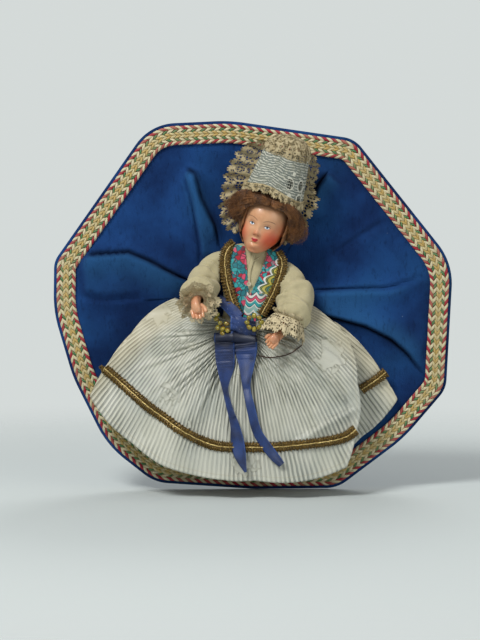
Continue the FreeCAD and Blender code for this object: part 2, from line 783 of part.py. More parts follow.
def inner_arm_plane(side):
    # the arm, its sleeve and its cuff keep outside this plane beside the dressed trunk
    return trunk_width / 2 + gold_outer + turning_gap


def make_arm(side):
    sign = side_sign(side)
    elbow, wrist, tips = [arm_point(side, shares) for shares in arm_place_shares[side]]
    shoulder = shoulder_point(side)
    upper = (elbow - shoulder).normalize()
    lower = (wrist - elbow).normalize()
    reach = (tips - wrist).normalize()
    top = shoulder - upper * arm_radius
    bend = (upper + lower).normalize()
    arm = loft([
        ring(top, arm_radius * arm_end_share, arm_radius * arm_end_share, upper),
        ring(shoulder, arm_radius, arm_radius, upper),
        ring(elbow, arm_radius * elbow_share, arm_radius * elbow_share, bend),
        ring(wrist, wrist_radius, wrist_radius, lower),
    ])
    palm_end = wrist + reach * (hand_length * palm_share)
    wrist_end = wrist_radius * wrist_end_share
    palm = loft([
        ring(wrist - lower * (wrist_radius / 4), wrist_end, wrist_end, lower),
        ring(wrist + reach * (hand_length * knuckle_share), hand_width / 2, hand_thickness / 2, reach),
        ring(palm_end, hand_width / 2, hand_thickness / 2, reach),
    ])
    hand_frame = Placement(palm_end, Rotation(upward.negative(), reach).multiply(half_turn))
    fingers = []
    finger_tip = finger_width * finger_tip_share
    for number in range(finger_count):
        offset = (number - (finger_count - 1) / 2) * finger_width * finger_pitch_share
        length = hand_length * (finger_length_share - finger_step_share * abs(number - longest_finger))
        root = Vector(offset, 0, -hand_thickness / 2)
        finger = loft([
            ring(root, finger_width / 2, finger_width / 2),
            ring(root + upward * (length + hand_thickness / 2), finger_tip, finger_tip),
        ])
        fingers.append(placed(finger, hand_frame))
    thumb_root = Vector(-sign * hand_width * thumb_place_shares[0], 0, -hand_length * thumb_place_shares[1])
    thumb_way = Vector(-sign * thumb_way_shares[0], 0, thumb_way_shares[1])
    thumb_base, thumb_tip = [finger_width * share for share in thumb_taper_shares]
    thumb = loft([
        ring(thumb_root, thumb_base, thumb_base, thumb_way),
        ring(thumb_root + thumb_way * thumb_length, thumb_tip, thumb_tip, thumb_way),
    ])
    boss_start = Vector(sign * (trunk_width / 2 + turning_gap), trunk_y, shoulder_height)
    boss = rod(boss_start, across * sign, arm_boss_radius, arm_spread - trunk_width / 2)
    arm = fused([arm, palm, boss, placed(thumb, hand_frame)] + fingers)
    bore_length = arm_spread - boss_start.x * sign + knot_length
    arm = arm.cut(rod(boss_start - across * (sign * overrun), across * sign, elastic_radius + elastic_gap,
                      bore_length + overrun - knot_length / 2))
    pocket = shoulder - across * (sign * (knot_length / 2 + knot_gap))
    arm = arm.cut(rod(pocket, across * sign, knot_radius + knot_gap, knot_length + 2 * knot_gap))
    save("arm_" + side, placed(arm, doll_frame))


def sleeve_mass(side, grow):
    rings = []
    for place, radius_share, facing in sleeve_ring_shares[side]:
        radius = radius_share * sleeve_radius + grow
        rings.append(ring(arm_point(side, place), radius, radius, Vector(*facing)))
    return loft(rings)


def make_sleeve(side):
    sign = side_sign(side)
    outer = sleeve_mass(side, 0)
    inner = sleeve_mass(side, -sleeve_wall)
    first_place, first_radius, first_facing = sleeve_ring_shares[side][0]
    cap = arm_point(side, first_place)
    lid = rod(cap - upward * sleeve_wall, upward, first_radius * sleeve_radius, sleeve_wall)
    sleeve = fused([outer.cut(inner), lid.common(outer)])
    boss_start = Vector(0, trunk_y, shoulder_height)
    sleeve = sleeve.cut(rod(boss_start, across * sign, arm_boss_radius + cloth_gap, arm_spread))
    plane = inner_arm_plane(side)
    size = arm_length * 3
    low = Vector(plane if sign > 0 else -plane - size, -size, -size)
    keep = Part.makeBox(size, 2 * size, 2 * size, low)
    sleeve = sleeve.common(keep)
    save("sleeve_" + side, placed(sleeve, doll_frame))
    place, radius_share, facing = sleeve_ring_shares[side][-1]
    way = Vector(*facing).normalize()
    start = arm_point(side, place) + way * cloth_gap
    throat = wrist_radius * cuff_throat_share
    root = radius_share * sleeve_radius * cuff_root_share
    middle_reach = cuff_depth * cuff_middle_shares[0]
    middle_radius = cuff_radius * cuff_middle_shares[1]
    shells = []
    for wall in (0, cuff_wall):
        shells.append(loft([
            ring(start, root - wall, root - wall, way),
            ring(start + way * middle_reach, middle_radius - wall, middle_radius - wall, way),
            ring(start + way * cuff_depth, cuff_radius - wall, cuff_radius - wall, way),
        ]))
    disc = rod(start, way, root, cuff_wall).cut(rod(start, way, throat, cuff_wall))
    save("cuff_lace_" + side, placed(fused([shells[0].cut(shells[1]), disc]), doll_frame))


def make_leg(side):
    sign = side_sign(side)
    hip = Vector(sign * leg_spread, trunk_y, -hip_joint_drop)
    rings = []
    for down, radius_share in leg_ring_shares:
        centre = hip - upward * (down * leg_length - leg_radius)
        rings.append(ring(centre, radius_share * leg_radius, radius_share * leg_radius))
    leg = loft(rings)
    sole_z = -hip_joint_drop + leg_radius - leg_length
    heel = Vector(sign * leg_spread, trunk_y - shoe_length * shoe_forward_share, sole_z)
    sole_across, instep_across = [shoe_length * share for share in shoe_sole_shares]
    back_share, top_across, top_deep = shoe_top_shares
    ankle = heel + Vector(0, shoe_length * back_share, shoe_height + leg_radius / 2)
    shoe = loft([
        ring(heel, sole_across, shoe_length / 2),
        ring(heel + upward * (shoe_height / 2), instep_across, shoe_length / 2),
        ring(ankle, leg_radius * top_across, leg_radius * top_deep),
    ])
    leg = fused([leg, shoe])
    inner = Vector(0, trunk_y, -hip_joint_drop)
    leg = leg.cut(rod(inner, across * sign, elastic_radius + elastic_gap, leg_spread))
    pocket = hip - across * (sign * (knot_length / 2 + knot_gap))
    leg = leg.cut(rod(pocket, across * sign, knot_radius + knot_gap, knot_length + 2 * knot_gap))
    save("leg_" + side, placed(leg, doll_frame))


# Elastic
def make_elastic(name, spread, height):
    rope = rod(Vector(-spread, trunk_y, height), across, elastic_radius, 2 * spread)
    knots = [rod(Vector(sign * spread - knot_length / 2, trunk_y, height), across, knot_radius, knot_length)
             for sign in (-1, 1)]
    save(name, placed(fused([rope] + knots), doll_frame))


def make_neck_elastic():
    low = -neck_length - turning_gap - celluloid_wall - cloth_gap - knot_length
    rope = head_axis_rod(elastic_radius, low, knot_depth + knot_gap)
    knot = head_axis_rod(knot_radius, knot_depth + knot_gap, knot_depth + knot_gap + knot_length)
    stop = head_axis_rod(knot_radius, low, low + knot_length)
    save("neck_elastic", fused([rope, knot, stop]))


# Skirt
def fan_point(angle, reach, depth):
    turn = math.radians(angle)
    return Vector(waist_x + reach * math.sin(turn), -depth, waist_z - reach * math.cos(turn))


def pleat_wire(edges, reaches, backs, fronts):
    back = [fan_point(edges[step], reaches[step], backs[step]) for step in (0, 1)]
    front = [fan_point(edges[step], reaches[step], fronts[step]) for step in (0, 1)]
    swell = (back[1] - back[0]).Length * pleat_swell_share
    return crowned_wire(back, front[1], front[0], swell)


def pleated(table, near_reach, near_front, grow, wall, extra, first_open, last_open):
    # grow pushes the front out, wall draws every face in, extra lengthens the open stretch of hem
    near_back = -felt_face + skirt_back_gap
    pleats = []
    last = len(table) - 2
    for index in range(last + 1):
        pair = [table[index], table[index + 1]]
        angles = [entry[0] for entry in pair]
        if wall and index == 0:
            angles[0] += skirt_end_angle
        if wall and index == last:
            angles[1] -= skirt_end_angle
        is_open = first_open <= index < last_open
        length = extra if is_open else -2 * wall
        reaches = [entry[1] * skirt_reach + length for entry in pair]
        fronts = [entry[2] * skirt_depth + grow - wall for entry in pair]
        backs = [max(entry[3] * skirt_depth, near_back) + wall for entry in pair]
        stretch = [(reach - near_reach) / (entry[1] * skirt_reach - near_reach)
                   for reach, entry in zip(reaches, pair)]
        start_fronts = [near_front * waist_share(entry[0]) + grow - wall for entry in pair]
        start_back = near_back + wall
        fronts = [start + (front - start) * share
                  for start, front, share in zip(start_fronts, fronts, stretch)]
        backs = [start_back + (back - start_back) * share for back, share in zip(backs, stretch)]
        near = pleat_wire(angles, [near_reach] * 2, [start_back] * 2, start_fronts)
        pleats.append(loft([near, pleat_wire(angles, reaches, backs, fronts)]))
    return fused(pleats)


def waist_share(angle):
    # the gathers are thick in front and thin at the sides
    return waist_side_share + (1 - waist_side_share) * max(math.cos(math.radians(angle)), 0)


def skirt_front_depth(reach):
    # depth of the middle pleats' crest at a distance from the waist
    first = skirt_edge_shares[crest_first]
    second = skirt_edge_shares[crest_first + 1]
    far_reach = skirt_reach * (first[1] + second[1]) / 2
    chord = (fan_point(first[0], far_reach, 0) - fan_point(second[0], far_reach, 0)).Length
    far_depth = skirt_depth * (first[2] + second[2]) / 2 + chord * pleat_swell_share
    share = (reach - skirt_waist_radius) / (far_reach - skirt_waist_radius)
    return skirt_waist_depth + (far_depth - skirt_waist_depth) * share


def fan_points(shares):
    return [(waist_x + x * skirt_reach, waist_z + z * skirt_reach) for x, z in shares]


def make_skirt():
    table = skirt_edge_shares
    waist = (skirt_waist_radius, skirt_waist_depth)
    outer = pleated(table, waist[0], waist[1], 0, 0, 0, hem_first, hem_last)
    inner = pleated(table, waist[0], waist[1], 0, skirt_wall, overrun, hem_first, hem_last)
    skirt = outer.cut(inner)
    skirt = skirt.cut(trunk_mass(gold_outer + cloth_gap, cloth_gap))
    for side in ("left", "right"):
        skirt = skirt.cut(placed(sleeve_mass(side, cloth_gap), doll_frame))
    solids = sorted(skirt.Solids, key=lambda solid: solid.Volume)
    save("skirt", solids[-1])
    braid_top = cloth_gap + skirt_braid_thickness
    low_cover = pleated(table, waist[0], waist[1], cloth_gap, 0, 0, hem_first, hem_last)
    top_cover = pleated(table, waist[0], waist[1], braid_top, 0, 0, hem_first, hem_last)
    band = strip(fan_points(skirt_braid_shares), skirt_braid_width)
    braid = top_cover.cut(low_cover).common(prism(band, -2 * skirt_depth, 0))
    solids = sorted(braid.Solids, key=lambda solid: solid.Volume)
    save("skirt_braid", solids[-1])
    panel = pleated(panel_edge_shares, panel_start, panel_waist_depth, 0, 0, 0, 0, 0)
    save("skirt_back_panel", panel)
    low_cover = pleated(panel_edge_shares, panel_start, panel_waist_depth, cloth_gap, 0, 0, 0, 0)
    top_cover = pleated(panel_edge_shares, panel_start, panel_waist_depth, braid_top, 0, 0, 0, 0)
    band = strip(fan_points(panel_braid_shares), skirt_braid_width)
    braid = top_cover.cut(low_cover).common(prism(band, -2 * skirt_depth, 0))
    save("skirt_braid_end", braid)


# Ribbon and beads
def ribbon_wire(x, z, width, depth):
    points = [(x - width / 2, -depth), (x + width / 2, -depth),
              (x + width / 2, -depth - ribbon_thickness), (x - width / 2, -depth - ribbon_thickness)]
    return [Vector(px, py, z) for px, py in points]


def make_ribbon():
    for side in ("left", "right"):
        wires = []
        for x, z, width in ribbon_tail_shares[side]:
            reach = math.hypot(x, z) * skirt_reach
            depth = skirt_front_depth(reach) + skirt_braid_thickness + 2 * cloth_gap
            wires.append(ribbon_wire(waist_x + x * skirt_reach, waist_z + z * skirt_reach,
                                     width * ribbon_width, depth))
        save("ribbon_tail_" + side, loft(wires))
    knot_x = waist_x + knot_place_shares[0] * skirt_reach
    knot_drop = knot_place_shares[1] * skirt_reach
    knot_z = waist_z - knot_drop
    knot_back = skirt_front_depth(knot_drop + knot_height / 2) + cloth_gap
    rings = []
    for share, size in knot_ring_shares:
        centre = Vector(knot_x, -knot_back - share * knot_thickness, knot_z)
        rings.append(ring(centre, size * knot_width / 2, size * knot_height / 2, forward))
    save("bow_knot", loft(rings))
    band = strip(fan_points(ribbon_band_shares), ribbon_width)
    front = trunk_y - waist_depth_share * trunk_depth / 2 - gold_outer - cloth_gap
    save("ribbon_band", prism(band, front - ribbon_thickness, front))
    make_beads(knot_back, knot_x, knot_z)


def bead(centre):
    # a bead cut with eight sides, with its hole left to the thread that fills it
    rings = []
    for share, size in bead_ring_shares:
        radius = size * bead_radius
        height = centre + upward * (share * bead_radius)
        corners = []
        for step in range(bead_sides):
            turn = 2 * math.pi * step / bead_sides
            corners.append(height + Vector(radius * math.cos(turn), radius * math.sin(turn), 0))
        rings.append(corners)
    return loft(rings)


def make_beads(knot_back, knot_x, knot_z):
    depth = knot_back + knot_thickness + bead_radius + cloth_gap
    ring_x, ring_z = [share * skirt_reach for share in ring_place_shares]
    centre = Vector(knot_x + ring_x, -depth, knot_z + ring_z)
    beads = []
    for step in range(bead_count):
        turn = 2 * math.pi * step / bead_count
        beads.append(bead(centre + Vector(ring_radius * math.cos(turn), 0, ring_radius * math.sin(turn))))
    save("bead_ring", Part.makeCompound(beads))
    beads = []
    row_step = bead_row_share * bead_radius
    side_reach = bead_pitch + row_step + bead_radius + bead_seat
    start = Vector(knot_x - knot_width / 2 - side_reach, -knot_back - bead_radius * 2, knot_z)
    for step in range(bead_count):
        row = step // bead_row_count
        place = (step % bead_row_count - 1) * bead_pitch + row * row_step
        beads.append(bead(start + Vector(place, 0, (1 - row) * bead_pitch)))
    save("bead_cluster", Part.makeCompound(beads))


make_round()
make_torso()
make_blouse()
make_fichu()
make_head()
make_wig()
make_cap()
for doll_side in ("left", "right"):
    make_arm(doll_side)
    make_sleeve(doll_side)
    make_leg(doll_side)
make_elastic("shoulder_elastic", arm_spread, shoulder_height)
make_elastic("hip_elastic", leg_spread, -hip_joint_drop)
make_neck_elastic()
make_skirt()
make_ribbon()
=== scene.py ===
import math

import bmesh
import bpy
from mathutils import Matrix, Vector, noise


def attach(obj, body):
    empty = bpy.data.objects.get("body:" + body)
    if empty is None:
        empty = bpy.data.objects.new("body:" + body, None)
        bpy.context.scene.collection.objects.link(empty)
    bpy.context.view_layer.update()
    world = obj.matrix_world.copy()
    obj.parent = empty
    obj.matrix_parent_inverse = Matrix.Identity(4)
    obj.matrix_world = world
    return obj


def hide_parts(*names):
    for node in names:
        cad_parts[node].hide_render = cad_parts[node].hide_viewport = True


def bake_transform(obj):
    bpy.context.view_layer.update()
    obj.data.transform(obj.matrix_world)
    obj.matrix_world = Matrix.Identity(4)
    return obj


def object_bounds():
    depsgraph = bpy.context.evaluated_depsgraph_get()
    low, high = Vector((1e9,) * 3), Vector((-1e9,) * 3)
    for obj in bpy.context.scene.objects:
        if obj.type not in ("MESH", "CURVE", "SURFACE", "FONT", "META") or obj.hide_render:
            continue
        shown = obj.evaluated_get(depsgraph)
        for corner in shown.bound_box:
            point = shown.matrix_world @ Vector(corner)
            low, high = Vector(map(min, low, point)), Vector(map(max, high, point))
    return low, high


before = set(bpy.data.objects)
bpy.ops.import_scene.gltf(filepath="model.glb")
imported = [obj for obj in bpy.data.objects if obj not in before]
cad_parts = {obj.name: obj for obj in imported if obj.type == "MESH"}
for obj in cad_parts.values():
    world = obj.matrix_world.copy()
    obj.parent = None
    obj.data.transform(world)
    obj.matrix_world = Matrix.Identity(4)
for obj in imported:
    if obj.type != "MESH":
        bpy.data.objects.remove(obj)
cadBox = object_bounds()
mm = 0.001

# where the doll, its head and its face sit, in millimetres
dollFrame = Matrix.Translation((-6.0, 0, -9.5)) @ Matrix.Rotation(math.radians(9.8), 4, "Y")
neckFrame = dollFrame @ Matrix.Translation((0.7, -14.5, 37.0)) @ Matrix.Rotation(math.radians(7.7), 4, "Y")
headFrame = neckFrame @ Matrix.Rotation(math.radians(10), 4, "X")
faceFrame = headFrame @ Matrix.Rotation(math.radians(-10), 4, "Z")
print("frame loaded")


# ---- small tools
def tone(code):
    # a colour as it is seen, turned to the light values that the shaders use
    parts = [int(code[i:i + 2], 16) / 255 for i in (0, 2, 4)]
    return [p / 12.92 if p <= 0.04045 else ((p + 0.055) / 1.055) ** 2.4 for p in parts] + [1.0]


def ease(low, high, value):
    share = min(1.0, max(0.0, (value - low) / (high - low)))
    return share * share * (3 - 2 * share)


def along(points, share):
    # a place on a line of points, at a share of its count, on a smooth path
    last = len(points) - 1
    place = min(max(share, 0.0), 1.0) * last
    at = min(int(place), last - 1)
    part = place - at
    near = [points[min(max(at + k, 0), last)] for k in (-1, 0, 1, 2)]
    found = []
    for before, start, end, after in zip(*near):
        found.append(0.5 * (2 * start + (end - before) * part
                            + (2 * before - 5 * start + 4 * end - after) * part ** 2
                            + (3 * start - before - 3 * end + after) * part ** 3))
    return found


def between(table, value):
    # the row of a table at a value of its first column, on straight lines
    for low, high in zip(table, table[1:]):
        if value <= high[0] or high is table[-1]:
            part = min(1.0, max(0.0, (value - low[0]) / (high[0] - low[0])))
            return [a + (b - a) * part for a, b in zip(low, high)]


def rough(place, scale=1.0):
    return noise.noise(Vector(place) * scale)


def turnOf(u):
    # u goes once round, and its middle looks forward
    return (u - 0.5) * 2 * math.pi


def finished(bm, name, materials, body="root", stands=(), turned=None, smooth=True):
    # the mesh goes to its place in metres, and its object stays at the origin
    if turned is not None:
        bmesh.ops.transform(bm, matrix=turned, verts=bm.verts)
    bmesh.ops.scale(bm, vec=(mm, mm, mm), verts=bm.verts)
    mesh = bpy.data.meshes.new(name)
    bm.to_mesh(mesh)
    bm.free()
    obj = bpy.data.objects.new(name, mesh)
    bpy.context.scene.collection.objects.link(obj)
    for material in materials:
        mesh.materials.append(material)
    mesh.polygons.foreach_set("use_smooth", [smooth] * len(mesh.polygons))
    if body is not None:
        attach(obj, body)
    if stands:
        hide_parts(*stands)
    return obj


def layMap(bm, faces, place):
    # the UV map made new from each corner's place and its UV before
    uvLayer = bm.loops.layers.uv.verify()
    for face in faces:
        for loop in face.loops:
            loop[uvLayer].uv = place(loop.vert.co, loop[uvLayer].uv)


def addPatch(bm, across, rows, place, slotNumber=0, closed=False, spread=(1, 1)):
    # a grid bent by place(u, v); its UV map keeps u and v, times the spread
    bm.loops.layers.uv.verify()
    old = set(bm.verts)
    bmesh.ops.create_grid(bm, x_segments=across, y_segments=rows, size=0.5, calc_uvs=False)
    fresh = [v for v in bm.verts if v not in old]
    faces = set()
    for vert in fresh:
        faces.update(vert.link_faces)
    for face in faces:
        face.material_index = slotNumber
    layMap(bm, faces, lambda spot, before: ((spot.x + 0.5) * spread[0], (spot.y + 0.5) * spread[1]))
    for vert in fresh:
        vert.co = Vector(place(vert.co.x + 0.5, vert.co.y + 0.5))
    if closed:
        bmesh.ops.remove_doubles(bm, verts=fresh, dist=0.001)
    return faces


def bentGrid(across, rows, place, closed=False, spread=(1, 1)):
    bm = bmesh.new()
    addPatch(bm, across, rows, place, closed=closed, spread=spread)
    return bm


def weld(bm, gap=0.001):
    bmesh.ops.remove_doubles(bm, verts=bm.verts, dist=gap)
    return bm


def cloth(bm, name, material, thickness, body="root", stands=(), turned=None):
    # a thin piece: its faces look one way, and it gets the thickness of its stuff
    bmesh.ops.recalc_face_normals(bm, faces=bm.faces)
    obj = finished(bm, name, [material], body, stands, turned)
    made = obj.modifiers.new("cloth", "SOLIDIFY")
    made.thickness = thickness * mm
    made.offset = 0.0
    return obj


def threads(name, paths, radius, material, body="root", stands=(), sides=1, turned=None):
    # many fine threads or hairs: one curve with a round section, made a mesh
    curve = bpy.data.curves.new(name, "CURVE")
    curve.dimensions = "3D"
    curve.bevel_depth = radius
    curve.bevel_resolution = sides
    curve.use_fill_caps = True
    for path in paths:
        spline = curve.splines.new("POLY")
        spline.points.add(len(path) - 1)
        for point, spot in zip(spline.points, path):
            point.co = (spot[0], spot[1], spot[2], 1)
            point.radius = spot[3] if len(spot) > 3 else 1.0
    holder = bpy.data.objects.new(name, curve)
    mesh = bpy.data.meshes.new_from_object(holder)
    bpy.data.objects.remove(holder)
    bm = bmesh.new()
    bm.from_mesh(mesh)
    bpy.data.meshes.remove(mesh)
    return finished(bm, name, [material], body, stands, turned)


# ---- shader tools
class Wire:
    def __init__(self, tree, socket=None):
        self.tree = tree
        self.socket = socket

    def make(self, kind, settings=None, sockets=None, out=0):
        made = self.tree.nodes.new(kind)
        for key, value in (settings or {}).items():
            setattr(made, key, value)
        for key, value in (sockets or {}).items():
            if isinstance(value, Wire):
                self.tree.links.new(value.socket, made.inputs[key])
            else:
                made.inputs[key].default_value = value
        return Wire(self.tree, made.outputs[out])

    def sum(self, operation, *values):
        return self.make("ShaderNodeMath", {"operation": operation}, dict(enumerate(values)))

    def __add__(self, other):
        return self.sum("ADD", self, other)

    def __radd__(self, other):
        return self.sum("ADD", other, self)

    def __sub__(self, other):
        return self.sum("SUBTRACT", self, other)

    def __rsub__(self, other):
        return self.sum("SUBTRACT", other, self)

    def __mul__(self, other):
        return self.sum("MULTIPLY", self, other)

    def __truediv__(self, other):
        return self.sum("DIVIDE", self, other)

    def __pow__(self, other):
        return self.sum("POWER", self, other)

    def sine(self):
        return self.sum("SINE", self)

    def size(self):
        return self.sum("ABSOLUTE", self)

    def most(self, other):
        return self.sum("MAXIMUM", self, other)

    def step(self, low, high):
        # 0 below low, 1 above high, and eased between
        return self.make("ShaderNodeMapRange", {"interpolation_type": "SMOOTHSTEP"},
                         {"Value": self, "From Min": low, "From Max": high})

    def cloud(self, scale, detail=3.0, roughness=0.55):
        return self.make("ShaderNodeTexNoise", {}, {"Vector": self, "Scale": scale, "Detail": detail,
                                                     "Roughness": roughness})

    def cells(self, scale, feature="F1", out=0, randomness=1.0):
        return self.make("ShaderNodeTexVoronoi", {"feature": feature},
                         {"Vector": self, "Scale": scale, "Randomness": randomness}, out)

    def stretched(self, x, y, z):
        return self.make("ShaderNodeMapping", {"vector_type": "POINT"}, {"Vector": self, "Scale": (x, y, z)})

    def axis(self, number):
        return self.make("ShaderNodeSeparateXYZ", {}, {"Vector": self}, number)

    def tint(self, first, second):
        # self is the share of the second colour; a colour is a wire, a code or four numbers
        first, second = [tone(part) if isinstance(part, str) else part for part in (first, second)]
        return self.make("ShaderNodeMix", {"data_type": "RGBA"}, {0: self, 6: first, 7: second}, 2)


def newMaterial(name, roughness=0.8, metallic=0.0, **uniform):
    material = bpy.data.materials.new(name)
    material.use_nodes = True
    tree = material.node_tree
    shader = tree.nodes["Principled BSDF"]
    shader.inputs["Roughness"].default_value = roughness
    shader.inputs["Metallic"].default_value = metallic
    for key, value in uniform.items():
        shader.inputs[key.replace("_", " ")].default_value = value
    start = Wire(tree)
    spot = start.make("ShaderNodeTexCoord", out="Object")
    flat = start.make("ShaderNodeUVMap")
    return material, shader, spot, flat


def feed(shader, bump=None, strength=0.5, distance=0.0004, **wires):
    for key, wire in wires.items():
        wire.tree.links.new(wire.socket, shader.inputs[key.replace("_", " ")])
    if bump is not None:
        made = bump.make("ShaderNodeBump", {}, {"Strength": strength, "Distance": distance, "Height": bump})
        bump.tree.links.new(made.socket, shader.inputs["Normal"])


# ---- the studio
studio = dict(floorColour="c4cbc8", floorReach=0.5, fadeFrom=0.14, lensLength=101.0, distance=0.9,
              aim=(-6.75, -8.0, -7.0), elevation=3.0, roomLight=(0.33, 0.34, 0.36, 1), roomSeen=(0.66, 0.70, 0.69, 1))
# lamps: place, width and power
lamps = dict(key=((-0.42, -0.62, 0.72), 0.30, 8.2), fill=((0.75, -0.7, 0.15), 0.6, 2.0),
             rear=((0.3, 0.8, 0.7), 0.6, 4.0))


def addAimed(name, data, place, way):
    # a lamp or camera at a place, with its back turned the given way
    holder = bpy.data.objects.new(name, data)
    holder.location = place
    holder.rotation_mode = "QUATERNION"
    holder.rotation_quaternion = way.to_track_quat("Z", "Y")
    bpy.context.scene.collection.objects.link(holder)
    return holder


def makeStudio():
    scene = bpy.context.scene
    scene.view_settings.view_transform = "Standard"
    # a table top that fades into the pale room on every side
    bm = bmesh.new()
    bmesh.ops.create_grid(bm, x_segments=1, y_segments=1, size=studio["floorReach"])
    mesh = bpy.data.meshes.new("floor")
    bm.to_mesh(mesh)
    bm.free()
    floor = bpy.data.objects.new("floor", mesh)
    floor.location.z = cadBox[0].z - 0.0005
    scene.collection.objects.link(floor)
    material, shader, spot, flat = newMaterial("paleFloor", 0.9)
    shader.inputs["Base Color"].default_value = tone(studio["floorColour"])
    far = (spot.axis(0) * spot.axis(0) + spot.axis(1) * spot.axis(1)) ** 0.5
    feed(shader, Alpha=1 - far.step(studio["fadeFrom"], studio["floorReach"] * 0.95))
    mesh.materials.append(material)

    world = bpy.data.worlds.new("studio")
    scene.world = world
    world.use_nodes = True
    tree = world.node_tree
    start = Wire(tree)
    paths = start.make("ShaderNodeLightPath", out="Is Camera Ray")
    shine = start.make("ShaderNodeLightPath", out="Is Glossy Ray")
    seen = paths.most(shine * 0.5)
    room = seen.tint(studio["roomLight"], studio["roomSeen"])
    tree.links.new(room.socket, tree.nodes["Background"].inputs["Color"])

    for name, (place, width, power) in lamps.items():
        lamp = bpy.data.lights.new(name, "AREA")
        lamp.size = width
        lamp.energy = power
        addAimed(name, lamp, place, Vector(place))

    camera = bpy.data.cameras.new("camera")
    camera.lens = studio["lensLength"]
    camera.sensor_width = 36.0
    camera.clip_start = 0.01
    tilt = math.radians(studio["elevation"])
    back = Vector((0, -math.cos(tilt), math.sin(tilt)))
    scene.camera = addAimed("camera", camera, Vector(studio["aim"]) * mm + back * studio["distance"], back)


makeStudio()
print("studio made")


# ---- the felt round
# the crease colour is painted shade, and the ridge colour a painted highlight on the tops of the folds
feltRound = dict(halfWidth=100.0, halfHeight=92.5, frontFace=-3.9, thickness=1.1,
                 lightBlue="1d4379", darkBlue="11274f", tealBlue="1b4565", creaseShadeBlue="03070f",
                 ridgeHighlightBlue="2c5f8c")
# corners of the round, clockwise from the upper left: across, up and radius
roundCorners = [
    (-1.002, 0.241, 0.12), (-0.518, 0.983, 0.25), (-0.12, 1.003, 0.80), (0.506, 0.905, 0.14),
    (1.004, 0.232, 0.32), (0.972, -0.454, 0.14), (0.76, -0.724, 0.80), (0.425, -0.998, 0.18),
    (0.0, -1.003, 0.90), (-0.50, -0.967, 0.22), (-0.74, -0.762, 0.50), (-0.91, -0.389, 0.70),
    (-1.006, -0.032, 0.60)]
# folds of the felt: a line, the side that rises (1 is left of the way it runs), the fold's height and width, and
# the width of its steep side
feltFolds = [
    ([(-91, 25.5), (-79, 26), (-63, 27), (-53, 23), (-38, 15), (-26, 10)], -1, 6.2, 15.0, 1.5),
    ([(-35, 70), (-29, 66), (-26, 54), (-19, 40), (-17, 30)], -1, 4.2, 8.0, 1.6),
    ([(-36, 68), (-31, 52), (-27.5, 30), (-27, 20)], 1, 4.4, 8.0, 2.6),
    ([(38, 68), (32, 60), (29, 53), (25, 44)], 1, 6.0, 12.0, 1.5),
    ([(26, 8), (48, 9), (68, 9.5), (84, 15)], -1, 4.6, 8.0, 3.2),
    ([(27, -3), (43, -7), (56, -10.5), (69, -17), (77, -24), (87, -37)], 1, 6.0, 12.5, 1.5),
    ([(-88, 4), (-74, 2), (-58, 3)], 1, 2.6, 12.0, 6.0),
    ([(66, 44), (53, 36), (40, 27)], 1, 2.4, 9.0, 6.0),
]


def roundLine(inset, bendSteps=14, runSteps=16):
    # the outline of the round with its corners rounded, moved inwards by the inset
    corners = [Vector((x * feltRound["halfWidth"], z * feltRound["halfHeight"])) for x, z, radius in roundCorners]
    count = len(corners)
    bends = []
    for index in range(count):
        corner = corners[index]
        runIn = (corner - corners[index - 1]).normalized()
        runOut = (corners[(index + 1) % count] - corner).normalized()
        inIn = Vector((runIn.y, -runIn.x))
        inOut = Vector((runOut.y, -runOut.x))
        vertex = corner + (inIn + inOut) * (inset / (1 + inIn.dot(inOut)))
        turn = runIn.angle(runOut)
        share = roundCorners[index][2]
        radius = share * feltRound["halfWidth"] - inset * min(1, share * 6)
        reach = radius * math.tan(turn / 2)
        centre = vertex - runIn * reach + inIn * radius
        arc = []
        for step in range(bendSteps + 1):
            angle = -turn * step / bendSteps
            arm = -inIn
            arc.append(centre + radius * Vector((arm.x * math.cos(angle) - arm.y * math.sin(angle),
                                                 arm.x * math.sin(angle) + arm.y * math.cos(angle))))
        bends.append(arc)
    line = []
    for index, arc in enumerate(bends):
        line.extend(arc)
        following = bends[(index + 1) % count][0]
        for step in range(1, runSteps):
            line.append(arc[-1].lerp(following, step / runSteps))
    return line


def foldHeight(x, z, folds, lipShare=0.5):
    # height of the folds at a place, and how near the place is to a crease
    height = 0.0
    crease = 0.0
    for line, side, tall, wide, sharp in folds:
        best = None
        for index in range(len(line) - 1):
            startX, startZ = line[index]
            runX, runZ = line[index + 1][0] - startX, line[index + 1][1] - startZ
            outX, outZ = x - startX, z - startZ
            part = min(1.0, max(0.0, (outX * runX + outZ * runZ) / (runX * runX + runZ * runZ)))
            distance = math.hypot(outX - runX * part, outZ - runZ * part)
            if best is None or distance < best[0]:
                turn = runX * outZ - runZ * outX
                best = (distance, math.copysign(1, turn) * side, (index + part) / (len(line) - 1))
        distance, which, share = best
        if distance > wide * 3:
            continue
        ends = ease(0.0, 0.14, share) * (1 - 0.6 * ease(0.75, 1.0, share))
        if which > 0:
            height += tall * ends * math.exp(-(distance / wide) ** 1.6) * ease(0.0, sharp, distance)
        else:
            height += tall * ends * lipShare * math.exp(-(distance / wide * 3) ** 1.6) * ease(0.0, 0.9, distance)
        crease = max(crease, ends * math.exp(-(distance / 2.1) ** 2) * (0.8 if sharp < 2 else 0.4))
    return height, crease


